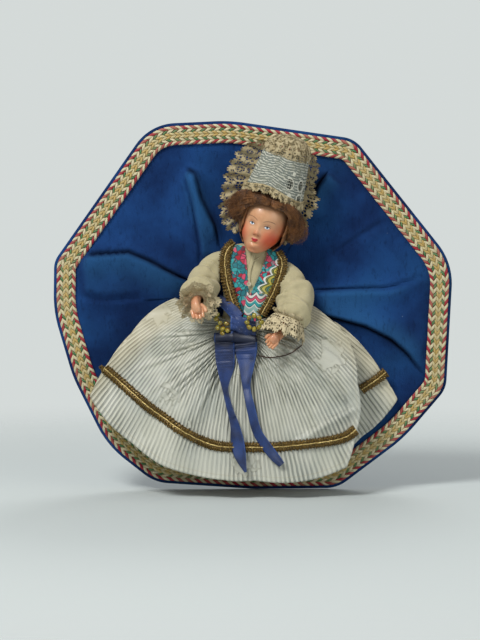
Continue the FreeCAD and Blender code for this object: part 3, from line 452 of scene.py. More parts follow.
def feltMaterial():
    # the UV map holds the nearness to a crease and the height of the fold: the creases get painted shade, and the
    # tops of the folds a painted highlight
    material, shader, spot, flat = newMaterial("blueFelt", 1.0, Sheen_Weight=0.0, Specular_IOR_Level=0.12)
    blotch = spot.cloud(26, 4).step(0.36, 0.68)
    fibre = spot.cloud(1500, 3)
    nap = spot.stretched(1, 1, 0.35).cloud(600, 4, 0.7)
    teal = spot.cloud(14, 2).step(0.48, 0.72)
    colour = blotch.tint(feltRound["darkBlue"], feltRound["lightBlue"])
    colour = (teal * 0.55).tint(colour, feltRound["tealBlue"])
    # painted highlight: the tops of the folds are lighter, as if lit
    colour = (flat.axis(1).step(0.35, 1.0) * 0.45).tint(colour, feltRound["ridgeHighlightBlue"])
    colour = (fibre.step(0.56, 0.76) * 0.20).tint(colour, "23477a")
    colour = (nap.step(0.30, 0.48) * -0.35 + 0.35).tint(colour, "050e22")
    # painted shade: the creases are darkened nearly to black
    colour = (flat.axis(0).step(0.15, 0.95) * 0.8).tint(colour, feltRound["creaseShadeBlue"])
    lint = (spot.cells(260, "F1").step(0.035, 0.06) * -1 + 1) * spot.cloud(90, 1).step(0.66, 0.70)
    colour = (lint * 0.8).tint(colour, "8496ae")
    feed(shader, bump=fibre * 0.6 + nap, strength=0.55, distance=0.0005, Base_Color=colour)
    return material


def makeFelt():
    felt = feltMaterial()
    edge = roundLine(0.0, 14, 34)
    rows = 74
    shading = {}

    def spotOf(u, v, wavy):
        place = edge[int(round(u * len(edge))) % len(edge)]
        share = v ** 0.8
        x, z = place.x * share, place.y * share
        rim = min((place - Vector((x, z))).length, 40)
        rise = 0.0
        if wavy:
            calm = ease(10.0, 15.0, rim)
            fold, crease = foldHeight(x, z, feltFolds)
            rise = fold * calm + 0.5 * rough((x, z, 0), 0.05) * calm
            rise *= ease(0.0, 14.0, Vector((x + 4, z - 8)).length)
            shading[int(round(u * len(edge))), int(round(v * rows))] = (crease * calm, fold * calm / 6)
        else:
            rise = 0.12 * rough((x, z, 3), 0.05)
        return x, rise, z

    def front(u, v):
        x, rise, z = spotOf(u, v, True)
        return x, feltRound["frontFace"] + 0.55 - rise, z

    def back(u, v):
        x, rise, z = spotOf(u, v, False)
        return x, -0.62 - abs(rise), z

    bm = bentGrid(len(edge), rows, front, True)
    layMap(bm, bm.faces, lambda spot, before: shading[int(round(before.x * len(edge))), int(round(before.y * rows))])
    obj = cloth(bm, "feltFront", felt, feltRound["thickness"], "root", ["felt_front"])
    obj = cloth(bentGrid(len(edge), 24, back, True, (0.0, 0.0)), "feltBack", felt, feltRound["thickness"], "root",
                ["felt_back"])


makeFelt()
print("felt round made")


# ---- the plaited braid on the rim
rimBraid = dict(outerInset=1.5, innerInset=11.0, period=4.7, back=-3.95, strawWidth=1.95,
                red="a3182b", cream="d8cda6", green="4a8350", gold="c3a560", beige="cfbf8c", ground="a8966a")
# rows of straws: from and to across the braid, lean along it, first and second colour
strawRows = [(0.00, 0.21, 0.9, 0, 1), (0.17, 0.38, -0.8, 2, 1), (0.33, 0.52, 0.8, 3, 4),
             (0.48, 0.67, -0.8, 3, 4), (0.62, 0.83, 0.8, 2, 1), (0.79, 1.00, -0.9, 0, 1)]


def strawMaterial(name, colour):
    material, shader, spot, flat = newMaterial(name, 0.62)
    grain = flat.stretched(9, 0.8, 1).cloud(6, 3)
    wear = spot.cloud(120, 3).step(0.42, 0.68)
    tinted = (grain.step(0.35, 0.7) * 0.35).tint(colour, [c * 0.45 for c in tone(colour)[:3]] + [1])
    tinted = (wear * 0.3).tint(tinted, "b9ab80")
    feed(shader, bump=grain, strength=0.5, distance=0.0002, Base_Color=tinted)
    return material


def makeRimBraid():
    outer = roundLine(rimBraid["outerInset"])
    inner = roundLine(rimBraid["innerInset"])
    count = len(outer)
    lengths = [0.0]
    for index in range(count):
        middle = (outer[index] + inner[index]) / 2
        following = (outer[(index + 1) % count] + inner[(index + 1) % count]) / 2
        lengths.append(lengths[-1] + (following - middle).length)
    total = lengths[-1]

    def placeOn(far, share):
        far = far % total
        low, high = 0, count
        while high - low > 1:
            middle = (low + high) // 2
            if lengths[middle] <= far:
                low = middle
            else:
                high = middle
        part = (far - lengths[low]) / max(lengths[low + 1] - lengths[low], 1e-6)
        a = outer[low].lerp(outer[(low + 1) % count], part)
        b = inner[low].lerp(inner[(low + 1) % count], part)
        return a.lerp(b, share)

    bm = bmesh.new()

    def ground(u, v):
        place = placeOn(u * total * 0.99999, 0.03 + 0.94 * v)
        return place.x, rimBraid["back"] - 0.9 * math.sin(math.pi * min(max(v, 0.02), 0.98)) ** 0.4, place.y

    addPatch(bm, 420, 6, ground, 5)
    repeats = round(total / rimBraid["period"])
    step = total / repeats
    for start, end, lean, first, second in strawRows:
        for index in range(repeats * 2):
            colour = first if index % 2 == 0 else second
            wide = rimBraid["strawWidth"] * (0.62 if colour == 2 else 1.06)
            middle = (index + 0.5 * (start > 0.3)) * step / 2
            wander = 0.12 * rough((middle, start * 9, 0), 0.9)

            def straw(u, v, middle=middle, wide=wide, start=start, end=end, lean=lean, wander=wander):
                far = middle + lean * (v - 0.5) * step * 0.62 + (u - 0.5) * wide
                place = placeOn(far, start + (end - start) * v + wander * 0.1)
                rise = 0.75 + 0.75 * math.sin(math.pi * v) ** 0.7 + 0.45 * (1 - (2 * u - 1) ** 2) + wander
                return place.x, rimBraid["back"] - rise, place.y

            addPatch(bm, 2, 5, straw, colour)
    names = ["red", "cream", "green", "gold", "beige", "ground"]
    materials = [strawMaterial("straw" + part.title(), rimBraid[part]) for part in names]
    finished(bm, "rimBraid", materials, stands=["rim_braid"])


makeRimBraid()
print("rim braid made")


# ---- the skirt
skirt = dict(apex=(-6.0, -9.5), reach=84.0, waistDepth=23.0, waistBack=6.5, depth=36.0, waistShare=0.04,
             firstAngle=-112, lastAngle=108, ribs=33.0, ribReach=75.0, ribCurl=0.42, pleats=9, pleatRise=1.5,
             thickness=0.35, panelDepth=0.23, silk="bfbfae", ribShade="6f736b", warmSilk="c2b286")
# edge of the skirt: angle from straight down, reach, front depth, back depth
skirtEdge = [
    (-112, 0.43, 0.34, 0.16), (-98, 0.55, 0.36, 0.16), (-86, 0.655, 0.42, 0.18), (-75, 0.81, 0.48, 0.19),
    (-65, 0.99, 0.52, 0.195), (-54, 0.965, 0.66, 0.195), (-43, 0.935, 0.80, 0.195), (-31, 0.925, 0.92, 0.195),
    (-19, 0.905, 0.99, 0.195), (-7, 0.888, 1.0, 0.195), (5, 0.893, 1.0, 0.195), (17, 0.94, 0.98, 0.195),
    (28, 0.99, 0.94, 0.26), (37, 1.02, 0.88, 0.37), (46, 0.925, 0.82, 0.37), (55, 0.855, 0.78, 0.37),
    (64, 0.755, 0.72, 0.37), (74, 0.70, 0.62, 0.33), (85, 0.62, 0.50, 0.24), (96, 0.51, 0.40, 0.20),
    (108, 0.42, 0.34, 0.16)]
# folds of the skirt, with the same values as the felt's
skirtFolds = [
    ([(10, -15), (23.9, -21.6), (33, -31), (39.2, -35.3), (45, -42), (46, -50)], -1, 3.4, 6.0, 1.2),
    ([(18, -64.7), (27.7, -60.2), (34.4, -55.6), (44.4, -51), (51, -48)], -1, 3.0, 5.0, 1.0),
    ([(1.5, -28), (2.8, -35), (7.6, -55)], 1, 1.4, 6.0, 1.4),
    ([(-8, -20), (-19, -34), (-24, -50), (-27, -62)], -1, 1.4, 8.0, 2.4),
    ([(-20, -8), (-33, -20), (-40, -38), (-42, -56)], 1, 1.8, 7.0, 2.4),
    ([(14, -9), (28, -14), (42, -24), (51, -38)], -1, 2.6, 5.0, 1.2),
    ([(22, -9), (36, -16), (50, -30)], 1, 1.6, 4.0, 1.0),
    ([(24, -30), (32, -44), (35, -55)], -1, 1.4, 5.0, 1.6)]
# edge of the panel behind the skirt: angle and reach
panelEdge = [(30, 0.96), (38, 0.98), (47, 0.985), (56, 1.015), (64.5, 1.035), (71, 0.89), (78, 0.77), (85, 0.66),
             (92, 0.56)]


def skirtSpot(angle, radius, depth):
    turn = math.radians(angle)
    return skirt["apex"][0] + radius * math.sin(turn), -depth, skirt["apex"][1] - radius * math.cos(turn)


def skirtOut(angle, far):
    # how far out a place on the skirt lies, from 0 at the waist to 1 at the edge
    reach = between(skirtEdge, angle)[1]
    return (far / reach - skirt["waistShare"]) / (1 - skirt["waistShare"])


def skirtFront(angle, out):
    reach, deep = between(skirtEdge, angle)[1:3]
    radius = (skirt["waistShare"] + (1 - skirt["waistShare"]) * out) * reach * skirt["reach"]
    share = (angle - skirt["firstAngle"]) / (skirt["lastAngle"] - skirt["firstAngle"])
    depth = skirt["waistDepth"] + (skirt["depth"] * deep - skirt["waistDepth"]) * out ** 0.9
    depth += 2.2 * math.sin(math.pi * min(out, 1)) * (0.35 + 0.65 * deep)
    phase = share * skirt["pleats"] * 2 * math.pi + 2.2 * rough((share * 5, out * 1.6, 0))
    deepFold = math.sin(phase) * (0.35 + 0.65 * out) * ease(0.02, 0.3, out)
    fine = math.sin(phase * 4.7 + 4 * rough((share * 30, out, 4))) * 0.5 * ease(0.9, 0.1, out)
    calm = 0.55 + 0.45 * math.cos(math.radians(angle * 0.9))
    x, middle, z = skirtSpot(angle, radius, 0)
    fold = foldHeight(x, z, skirtFolds, 0.25)[0]
    depth += skirt["pleatRise"] * (deepFold * calm + fine) + 1.1 * rough((angle * 0.05, out * 3, 8))
    depth += fold * ease(0.0, 0.1, out) * ease(1.02, 0.9, out)
    return x, -depth, z


def ribPlace(x, z):
    # the silk's ribs bend away from the waist and run down almost side by side
    sideTurn, down = x - skirt["apex"][0], skirt["apex"][1] - z
    return math.atan2(sideTurn, down) * (math.hypot(sideTurn, down) / skirt["ribReach"]) ** skirt["ribCurl"]


def layRibs(bm, faces):
    layMap(bm, faces, lambda spot, before: (ribPlace(spot.x, spot.z), before.y))


def skirtBack(angle, out):
    turn, reach, front, back = between(skirtEdge, angle)
    radius = (skirt["waistShare"] + 0.955 * out) * reach * skirt["reach"]
    return skirtSpot(angle, radius, skirt["waistBack"] + (skirt["depth"] * back - skirt["waistBack"]) * out + 0.5)


def silkMaterial():
    material, shader, spot, flat = newMaterial("ribbedSilk", 0.42, Sheen_Weight=0.05)
    wander = spot.cloud(60, 2)
    ribs = (flat.axis(0) * (skirt["ribs"] * 2 * math.pi) + wander * 5).sine()
    lines = ribs.step(-0.95, 0.35)
    faint = spot.cloud(34, 2).step(0.36, 0.62)
    patch = spot.stretched(1, 0.2, 1).cells(38, "F1", 0, 0.9) + spot.stretched(1, 0.2, 1).cloud(330, 0.5) * 0.42
    plain = patch.step(0.46, 0.48)
    rim = 1 - (patch - 0.47).size().step(0.012, 0.035)
    weave = spot.cloud(2600, 2)
    moire = spot.stretched(1, 1, 0.3).cloud(130, 3).step(0.35, 0.68)
    lines = 1 - (1 - lines) * plain * (faint * 0.55 + 0.40)
    shade = spot.cloud(45, 3).step(0.40, 0.70)
    colour = lines.tint(skirt["ribShade"], skirt["silk"])
    colour = (moire * 0.40).tint(colour, "d2d2c4")
    colour = (shade * 0.35).tint(colour, "9aa29c")
    colour = ((1 - plain) * 0.5).tint(colour, "b0b0a2")
    colour = (rim * 0.45).tint(colour, "8f8e7c")
    edges = flat.axis(0).size().step(1.05, 1.25)
    colour = (edges * 0.4).tint(colour, skirt["warmSilk"])
    hem = (flat.axis(1) - 0.965).size().step(0.004, 0.001) * 0.25
    colour = hem.tint(colour, "a79a72")
    feed(shader, bump=lines * 1.0 + weave * 0.12, strength=0.8, distance=0.0006, Base_Color=colour,
         Roughness=moire * -0.10 + 0.52)
    return material


def makeSkirt():
    silk = silkMaterial()
    first, last = skirt["firstAngle"], skirt["lastAngle"]
    bm = bmesh.new()
    layRibs(bm, addPatch(bm, 440, 80, lambda u, v: skirtFront(first + (last - first) * u, v)))
    addPatch(bm, 120, 24, lambda u, v: skirtBack(last - (last - first) * u, v))
    for angle in (first, last):
        def side(u, v, angle=angle):
            front = Vector(skirtFront(angle, v))
            return front.lerp(Vector(skirtBack(angle, v)), u if angle > 0 else 1 - u)
        addPatch(bm, 8, 40, side)
    obj = cloth(weld(bm, 0.02), "silkSkirt", silk, skirt["thickness"], "root", ["skirt"])

    def panel(u, v):
        angle = panelEdge[0][0] + (panelEdge[-1][0] - panelEdge[0][0]) * u
        frayed = 0.5 * abs(rough((u * 90, 0, 2))) * ease(0.93, 1.0, v)
        radius = (0.55 + 0.45 * v) * between(panelEdge, angle)[1] * skirt["reach"] - frayed
        depth = skirt["depth"] * skirt["panelDepth"] + 0.5 * math.sin(u * 40) * v + 0.4 * rough((u * 5, v * 3, 1))
        return skirtSpot(angle, radius, depth)

    bm = bmesh.new()
    layRibs(bm, addPatch(bm, 150, 40, panel))
    obj = cloth(bm, "skirtBackPanel", silk, skirt["thickness"], "root", ["skirt_back_panel"])


makeSkirt()
print("skirt made")


# ---- the gold braid
goldBraid = dict(width=5.2, frontWidth=5.8, pitch=1.25, turnSteps=10, wire=0.30, core=0.34, gold="7d6126",
                 darkGold="33270f", paleGold="e6cd86")


def goldMaterial(name, dark, bright, metal):
    material, shader, spot, flat = newMaterial(name, 0.36, metal)
    grain = spot.cloud(1500, 3)
    wearAndGlintPatches = spot.cloud(260, 3).step(0.40, 0.62)
    colour = grain.step(0.3, 0.7).tint(dark, bright)
    # painted glints: pale gold highlights on the metal, in patches
    glints = spot.cells(900, "F1").step(0.24, 0.12) * wearAndGlintPatches
    colour = (glints * 0.9).tint(colour, goldBraid["paleGold"])
    feed(shader, bump=grain, strength=0.6, distance=0.0003, Base_Color=colour)
    return material


goldThread = goldMaterial("goldGimp", goldBraid["darkGold"], goldBraid["gold"], 0.45)
goldCore = goldMaterial("paleGold", goldBraid["gold"], goldBraid["paleGold"], 0.35)


def gimp(name, line, stands, width, turned=None):
    # a flat braid of two wound cords side by side, with a scalloped edge and a bright cord between them;
    # line(share) gives its middle, and the cords lie on its front
    outward = Vector((0, -1, 0))
    spots = [Vector(line(k / 200)) for k in range(201)]
    length = sum((b - a).length for a, b in zip(spots, spots[1:]))
    turnSteps = goldBraid["turnSteps"]
    turns = max(4, round(length / goldBraid["pitch"]))

    def spotOn(share, sideTurn, rise):
        share = min(max(share, 0.0), 1.0)
        before = Vector(line(max(share - 0.004, 0)))
        after = Vector(line(min(share + 0.004, 1)))
        run = (after - before).normalized()
        side = run.cross(outward).normalized()
        up = side.cross(run).normalized()
        if up.dot(outward) < 0:
            up.negate()
        return Vector(line(share)) + side * sideTurn * width / 2 + up * rise

    bm = bentGrid(max(12, turns * 2), 6,
                  lambda u, v: spotOn(u, (v * 2 - 1) * 0.84, 0.12 + 0.55 * abs(math.sin(2 * math.pi * v))))
    cloth(bm, name + "Base", goldThread, 0.3, "root", (), turned)
    paths = []
    for centre, spin in ((-0.50, 1), (0.50, -1)):
        path = []
        for k in range(turns * turnSteps + 1):
            angle = 2 * math.pi * k / turnSteps
            swell = 1 + 0.16 * math.sin(angle * 0.37)
            path.append(tuple(spotOn(k / (turns * turnSteps), centre + 0.46 * swell * math.cos(angle) * spin,
                                     0.55 + 0.42 * math.sin(angle))))
        paths.append(path)
    threads(name, paths, goldBraid["wire"], goldThread, "root", stands, 1, turned)
    steps = max(20, turns)
    path = [tuple(spotOn(k / steps, 0.03 * math.sin(k * 1.7), 0.95 + 0.12 * math.sin(k * 0.9)))
            for k in range(steps + 1)]
    threads(name + "Core", [path], goldBraid["core"], goldCore, "root", (), 1, turned)


def makeSkirtBraid():
    shares = [(-0.815, -0.245), (-0.62, -0.405), (-0.49, -0.505), (-0.25, -0.65), (-0.08, -0.69), (0.18, -0.692),
              (0.45, -0.67), (0.60, -0.64), (0.665, -0.60)]

    def onSkirt(share):
        x, z = along(shares, share)
        angle = math.degrees(math.atan2(x, -z))
        place = skirtFront(angle, min(skirtOut(angle, math.hypot(x, z)), 1))
        return place[0], place[1] - 0.45, place[2]

    gimp("skirtBraid", onSkirt, ["skirt_braid"], goldBraid["width"])
    ends = [(0.715, -0.385), (0.80, -0.33), (0.862, -0.28)]

    def onPanel(share):
        x, z = along(ends, share)
        return (skirt["apex"][0] + x * skirt["reach"], -skirt["depth"] * skirt["panelDepth"] - 0.9,
                skirt["apex"][1] + z * skirt["reach"])

    gimp("skirtBraidEnd", onPanel, ["skirt_braid_end"], goldBraid["width"])


makeSkirtBraid()
print("gold braid made")


# ---- the head
doll = dict(headWidth=22.0, headDepth=24.4, headHeight=29.5, forward=2.5, skin="c9936a", paleSkin="d6a47b",
            cheek="d2502c", lip="a81f22", brow="6e4328", eyeWhite="e6e8e8", iris="7d9bb5", dark="15100f")
# head rings from the chin up: up, half width, half depth, how far forward
headRings = [
    (0.055, 0.0, 0.0, 0.62), (0.07, 0.26, 0.30, 0.56), (0.13, 0.50, 0.66, 0.26), (0.22, 0.70, 0.84, 0.12),
    (0.32, 0.86, 0.93, 0.05),
    (0.50, 1.0, 1.0, 0.0), (0.70, 1.0, 1.0, 0.0), (0.85, 0.86, 0.88, 0.0), (0.95, 0.56, 0.58, 0.0),
    (1.0, 0.18, 0.20, 0.0), (1.004, 0.0, 0.0, 0.0)]
# swells and hollows of the face: across, up, their two sizes, and how far they come forward
faceForms = [
    (0.0, 14.6, 0.9, 2.4, 0.9), (0.0, 12.2, 1.25, 1.2, 2.0), (-1.3, 11.8, 0.8, 0.7, 0.5),
    (1.3, 11.8, 0.8, 0.7, 0.5), (-3.9, 16.0, 1.9, 1.5, -0.9), (3.9, 16.0, 1.9, 1.5, -0.9),
    (-3.9, 15.9, 1.1, 0.8, 0.6), (3.9, 15.9, 1.1, 0.8, 0.6), (-5.6, 10.4, 2.8, 2.8, 0.8), (5.6, 10.4, 2.8, 2.8, 0.8),
    (0.0, 8.9, 1.7, 0.5, 0.65), (0.0, 7.9, 1.3, 0.5, 0.6), (0.0, 6.9, 1.6, 0.5, -0.4), (0.0, 5.3, 2.0, 1.4, 0.9),
    (0.0, 10.2, 0.5, 0.7, -0.25), (0.0, 20.5, 6.0, 2.6, 0.3)]


def headSpot(angle, share, grow=0.0):
    # angle 0 looks forward
    up, wide, deep, ahead = along(headRings, share)
    x = (wide * doll["headWidth"] / 2 + grow * min(1, wide * 3)) * math.sin(angle)
    y = -doll["forward"] - ahead * doll["headDepth"] / 2
    y -= (deep * doll["headDepth"] / 2 + grow * min(1, wide * 3)) * math.cos(angle)
    return x, y, up * doll["headHeight"] + (grow if up > 0.9 else 0)


def celluloidMaterial(name, painted):
    material, shader, spot, flat = newMaterial(name, 0.38, Specular_IOR_Level=0.45, Coat_Weight=0.12,
                                               Subsurface_Weight=0.08)
    shader.inputs["Subsurface Radius"].default_value = (0.003, 0.0012, 0.0008)
    mottle = spot.cloud(170, 3).step(0.3, 0.7)
    colour = mottle.tint(doll["skin"], doll["paleSkin"])
    grime = spot.cloud(420, 4).step(0.60, 0.78)
    colour = (grime * 0.22).tint(colour, "8f6243")
    if not painted:
        blush = spot.cloud(90, 1).step(0.4, 0.65)
        colour = (blush * 0.35).tint(colour, "c97a5c")
        feed(shader, bump=spot.cloud(500, 2), strength=0.12, distance=0.0003, Base_Color=colour)
        return material
    x = flat.axis(0)
    z = flat.axis(1)

    def oval(atX, atZ, wide, tall, soft=0.12):
        far = (((x - atX) / wide) ** 2 + ((z - atZ) / tall) ** 2) ** 0.5
        return 1 - far.step(1 - soft, 1 + soft)

    rosy = (oval(-8.4, 9.8, 3.6, 5.0, 0.8) * 0.75).most(oval(7.4, 9.4, 4.6, 5.2, 0.8))
    rosy = rosy.most(oval(0, 3.8, 4.0, 2.0, 0.8) * 0.3).most(oval(0, 12.0, 1.6, 1.5, 0.8) * 0.30)
    rosy = rosy.most(oval(9.8, 13.5, 2.6, 5.0, 0.8) * 0.45).most(oval(-9.8, 14.0, 2.0, 5.0, 0.8) * 0.35)
    colour = (rosy * (0.86 + mottle * 0.10)).tint(colour, doll["cheek"])
    for side in (-1, 1):
        eye = side * 3.9
        colour = (oval(eye, 16.1, 1.9, 1.35, 0.6) * 0.25).tint(colour, "8a5340")
        colour = oval(eye, 15.95, 1.15, 0.66, 0.15).tint(colour, doll["eyeWhite"])
        colour = oval(eye + 0.05, 16.0, 0.56, 0.58, 0.15).tint(colour, doll["iris"])
        colour = oval(eye + 0.05, 16.08, 0.36, 0.38, 0.2).tint(colour, doll["dark"])
        lid = (z - 16.6 + ((x - eye) ** 2) * 0.22).size()
        near = 1 - (x - eye).size().step(1.3, 1.8)
        colour = ((1 - lid.step(0.10, 0.26)) * near).tint(colour, "2b1a17")
        crease = (z - 17.45 + ((x - eye) ** 2) * 0.16).size()
        colour = ((1 - crease.step(0.05, 0.20)) * near * 0.4).tint(colour, "8b4b35")
        middle = side * 4.3
        brow = (z - 19.3 + ((x - middle) ** 2) * 0.10 - (x - middle) * (0.10 * side)).size()
        reach = 1 - (x - middle).size().step(2.2, 3.2)
        colour = ((1 - brow.step(0.08, 0.30)) * reach * 0.75).tint(colour, doll["brow"])
        colour = (oval(side * 1.05, 11.1, 0.5, 0.32, 0.5) * 0.55).tint(colour, "7e2f22")
        colour = oval(side * 0.72, 8.95, 1.0, 0.52, 0.3).tint(colour, doll["lip"])
    colour = oval(0, 8.25, 1.25, 0.62, 0.3).tint(colour, "b82a2a")
    split = 1 - (z - 8.62 - (x ** 2) * 0.05).size().step(0.04, 0.16)
    colour = (split * (1 - x.size().step(1.2, 1.7)) * 0.8).tint(colour, "5f1014")
    feed(shader, bump=spot.cloud(500, 2), strength=0.10, distance=0.0003, Base_Color=colour)
    return material


celluloid = celluloidMaterial("celluloid", False)


def makeHead():
    bm = bmesh.new()

    def surface(u, v):
        angle = turnOf(u)
        x, y, z = headSpot(angle, v)
        if y < -doll["forward"]:
            facing = ease(0.1, 0.6, math.cos(angle))
            for atX, atZ, wide, tall, out in faceForms:
                y -= out * facing * math.exp(-((x - atX) / wide) ** 2 - ((z - atZ) / tall) ** 2)
        return x, y, z

    def unrolled(spot, before):
        # the face keeps its own width on the map, and the sides are rolled out beside it
        angle = turnOf(before.x)
        return spot.x if abs(angle) < 1.4 else math.copysign(11 + (abs(angle) - 1.4) * 11, angle), spot.z

    layMap(bm, addPatch(bm, 128, 110, surface), unrolled)
    weld(bm)
    for side in (-1, 1):
        def ear(u, v, side=side):
            turn = 2 * math.pi * u
            swell = math.sin(math.pi * v * 0.5 + 0.0001)
            wide = 1.5 * (1 - v ** 3) + 0.02
            tall = 2.3 * (1 - v ** 3) + 0.02
            rim = 0.35 * math.sin(math.pi * v) * (1 if math.cos(turn) < 0.4 else 0.3)
            return (side * (10.0 + 1.6 * swell - (0.7 if v > 0.92 else 0) + rim), -1.6 + wide * math.cos(turn),
                    14.2 + tall * math.sin(turn))
        layMap(bm, addPatch(bm, 24, 12, ear), lambda spot, before, side=side: (side * 10.5, 12.0))
    weld(bm)
    bmesh.ops.recalc_face_normals(bm, faces=bm.faces)
    painted = celluloidMaterial("paintedCelluloid", True)
    finished(bm, "dollHead", [painted], "head", ["head"], faceFrame)
    bm = bmesh.new()
    bmesh.ops.create_cone(bm, cap_ends=True, segments=40, radius1=4.2, radius2=4.0, depth=9.0)
    bmesh.ops.translate(bm, vec=(0, 0.4, 0.6), verts=bm.verts)
    bmesh.ops.bevel(bm, geom=[e for e in bm.edges if abs(e.verts[0].co.z - e.verts[1].co.z) < 0.1],
                    offset=0.5, affect="EDGES", segments=2, profile=0.5, material=-1)
    finished(bm, "neck", [celluloid], "head", ["head"], headFrame, smooth=False)


makeHead()
print("head made")


# ---- the wig
wig = dict(locks=430, wisps=150, hairRadius=0.20, wave=0.95)
# guide lines for the locks of each side, from front to back: from the parting to the ends
hairGuides = {
    1: [
        [(-0.4, -14.2, 27.0), (2.6, -15.6, 27.2), (6.6, -15.0, 26.4), (10.4, -12.2, 23.2), (12.8, -9.6, 18.2),
         (13.2, -8.0, 14.0)],
        [(-0.4, -12.6, 29.4), (4.5, -14.4, 29.2), (9.8, -13.0, 27.4), (13.8, -10.2, 22.6), (16.0, -7.8, 17.4),
         (15.0, -6.0, 12.4)],
        [(-0.2, -5.0, 31.2), (5.5, -5.5, 30.8), (11.5, -5.6, 27.2), (15.6, -4.6, 22.0), (16.8, -3.4, 16.0),
         (14.4, -2.2, 10.8)]],
    -1: [
        [(-0.4, -14.2, 27.0), (-3.4, -15.6, 27.4), (-7.6, -14.8, 26.2), (-11.0, -12.0, 22.6), (-12.6, -9.6, 18.0),
         (-11.8, -8.2, 14.5)],
        [(-0.4, -12.6, 29.4), (-5.0, -14.4, 29.4), (-11.0, -13.2, 28.0), (-16.0, -10.6, 25.6), (-17.6, -8.2, 21.0),
         (-14.0, -6.6, 16.5)],
        [(-0.2, -5.0, 31.2), (-5.5, -5.5, 30.8), (-12.0, -5.6, 28.2), (-16.6, -4.6, 24.0), (-17.2, -3.4, 18.5),
         (-13.5, -2.2, 13.0)]]}
# the back of the head, the same on both sides
backGuides = [
    [(0.0, 4.5, 29.8), (4.5, 5.8, 28.4), (9.0, 5.9, 24.2), (11.8, 5.4, 18.5), (11.8, 5.0, 12.8), (10.0, 5.8, 8.8)],
    [(0.0, 8.8, 25.0), (2.6, 9.2, 23.0), (5.0, 9.4, 19.5), (6.4, 9.0, 15.5), (6.2, 8.4, 11.5), (5.0, 8.8, 8.6)]]
for side, guides in hairGuides.items():
    guides.extend([(side * x, y, z) for x, y, z in guide] for guide in backGuides)


def hairMaterial():
    material, shader, spot, flat = newMaterial("mohair", 0.5, Sheen_Weight=0.05)
    lock = spot.cloud(420, 3)
    strandsAndHighlight = spot.stretched(1, 1, 0.4).cloud(1100, 2)
    clump = spot.stretched(1, 1, 0.5).cloud(230, 2).step(0.40, 0.62)
    colour = lock.step(0.32, 0.68).tint("3a2110", "5c3819")
    colour = (clump * 0.75).tint(colour, "8a5a2c")
    # lighter strands of hair, which are also a painted highlight
    colour = (strandsAndHighlight.step(0.46, 0.72) * 0.8).tint(colour, "a06c38")
    feed(shader, bump=strandsAndHighlight, strength=0.4, distance=0.0002, Base_Color=colour)
    return material


def lockPath(back, side, offset, steps=18, lift=0.0, curl=1.0):
    path = []
    loose = 0.5 + rough((offset * 5.3, side, 3))
    for k in range(steps + 1):
        share = k / steps
        x, y, z = along([along(guide, share) for guide in hairGuides[side]], back)
        wave = math.sin(share * 12 + back * 9 + side + loose) * wig["wave"] * ease(0.05, 0.4, share)
        out = 1.1 * rough((offset * 3, share * 3, side * 4)) + lift * math.sin(math.pi * share)
        place = Vector((x, y, z))
        push = (place - Vector((0, -2.5, 15))).normalized()
        place += push * (wave * 0.8 + out)
        frizz = ease(0.45, 1.0, share) * curl
        clump = math.floor(offset / 2.9)
        place.x += frizz * 1.9 * math.sin(share * 17 + clump * 2.4) + 0.35 * math.sin(share * 29 + offset * 4.1)
        place.y += 0.8 * math.cos(share * 13 + back * 7 + loose)
        place.y += frizz * 1.8 * math.cos(share * 17 + clump * 2.4)
        place.z += 0.6 * rough((offset, share * 4, 7)) + frizz * 1.6 * rough((offset * 2.3, share * 2, 1))
        thick = (0.55 + 0.6 * math.sin(math.pi * min(share + 0.15, 1.0)) ** 0.5) * (1 - 0.75 * ease(0.8, 1.0, share))
        path.append((place.x, place.y, place.z, thick))
    return path


def makeWig():
    hair = hairMaterial()
    paths = []
    for index in range(wig["locks"]):
        back = (index + 0.5) / wig["locks"]
        for side in (-1, 1):
            paths.append(lockPath(back ** 1.15, side, index * 0.73 + side))
    threads("wigLocks", paths, wig["hairRadius"], hair, "head", ["wig"], 1, headFrame)
    paths = []
    for index in range(wig["wisps"]):
        for side in (-1, 1):
            path = lockPath((index * 0.618) % 1.0 * 0.75, side, index * 1.37 + 40 * side, 16, 1.8, 2.2)
            paths.append([(x + side * 0.3, y - 0.2, z, thick * 0.5) for x, y, z, thick in path])
    threads("wigWisps", paths, wig["hairRadius"] * 0.6, hair, "head", (), 0, headFrame)

    def under(u, v):
        x, y, z = headSpot(turnOf(u), 0.22 + 0.78 * v, 1.3)
        return x * 1.04, y, z

    def isBare(face):
        # where the face looks out
        spot = face.calc_center_median()
        return spot.y < -5.5 and spot.z < 26.8 + 0.01 * spot.x ** 2 and abs(spot.x) < 10.3

    bm = weld(bentGrid(80, 50, under))
    bmesh.ops.delete(bm, geom=[face for face in bm.faces if isBare(face)], context="FACES")
    cloth(bm, "wigBase", hair, 0.5, "head", (), headFrame)


makeWig()
print("wig made")


# ---- the lace cap
cap = dict(width=29.0, depth=25.0, low=28.6, crownTop=51.5, topHeight=9.9, taper=0.24, girth=84.0, brimHeight=4.4,
           frillReach=27.0, gathers=9, netWhite="aeb3a3", linen="d9d8c6")


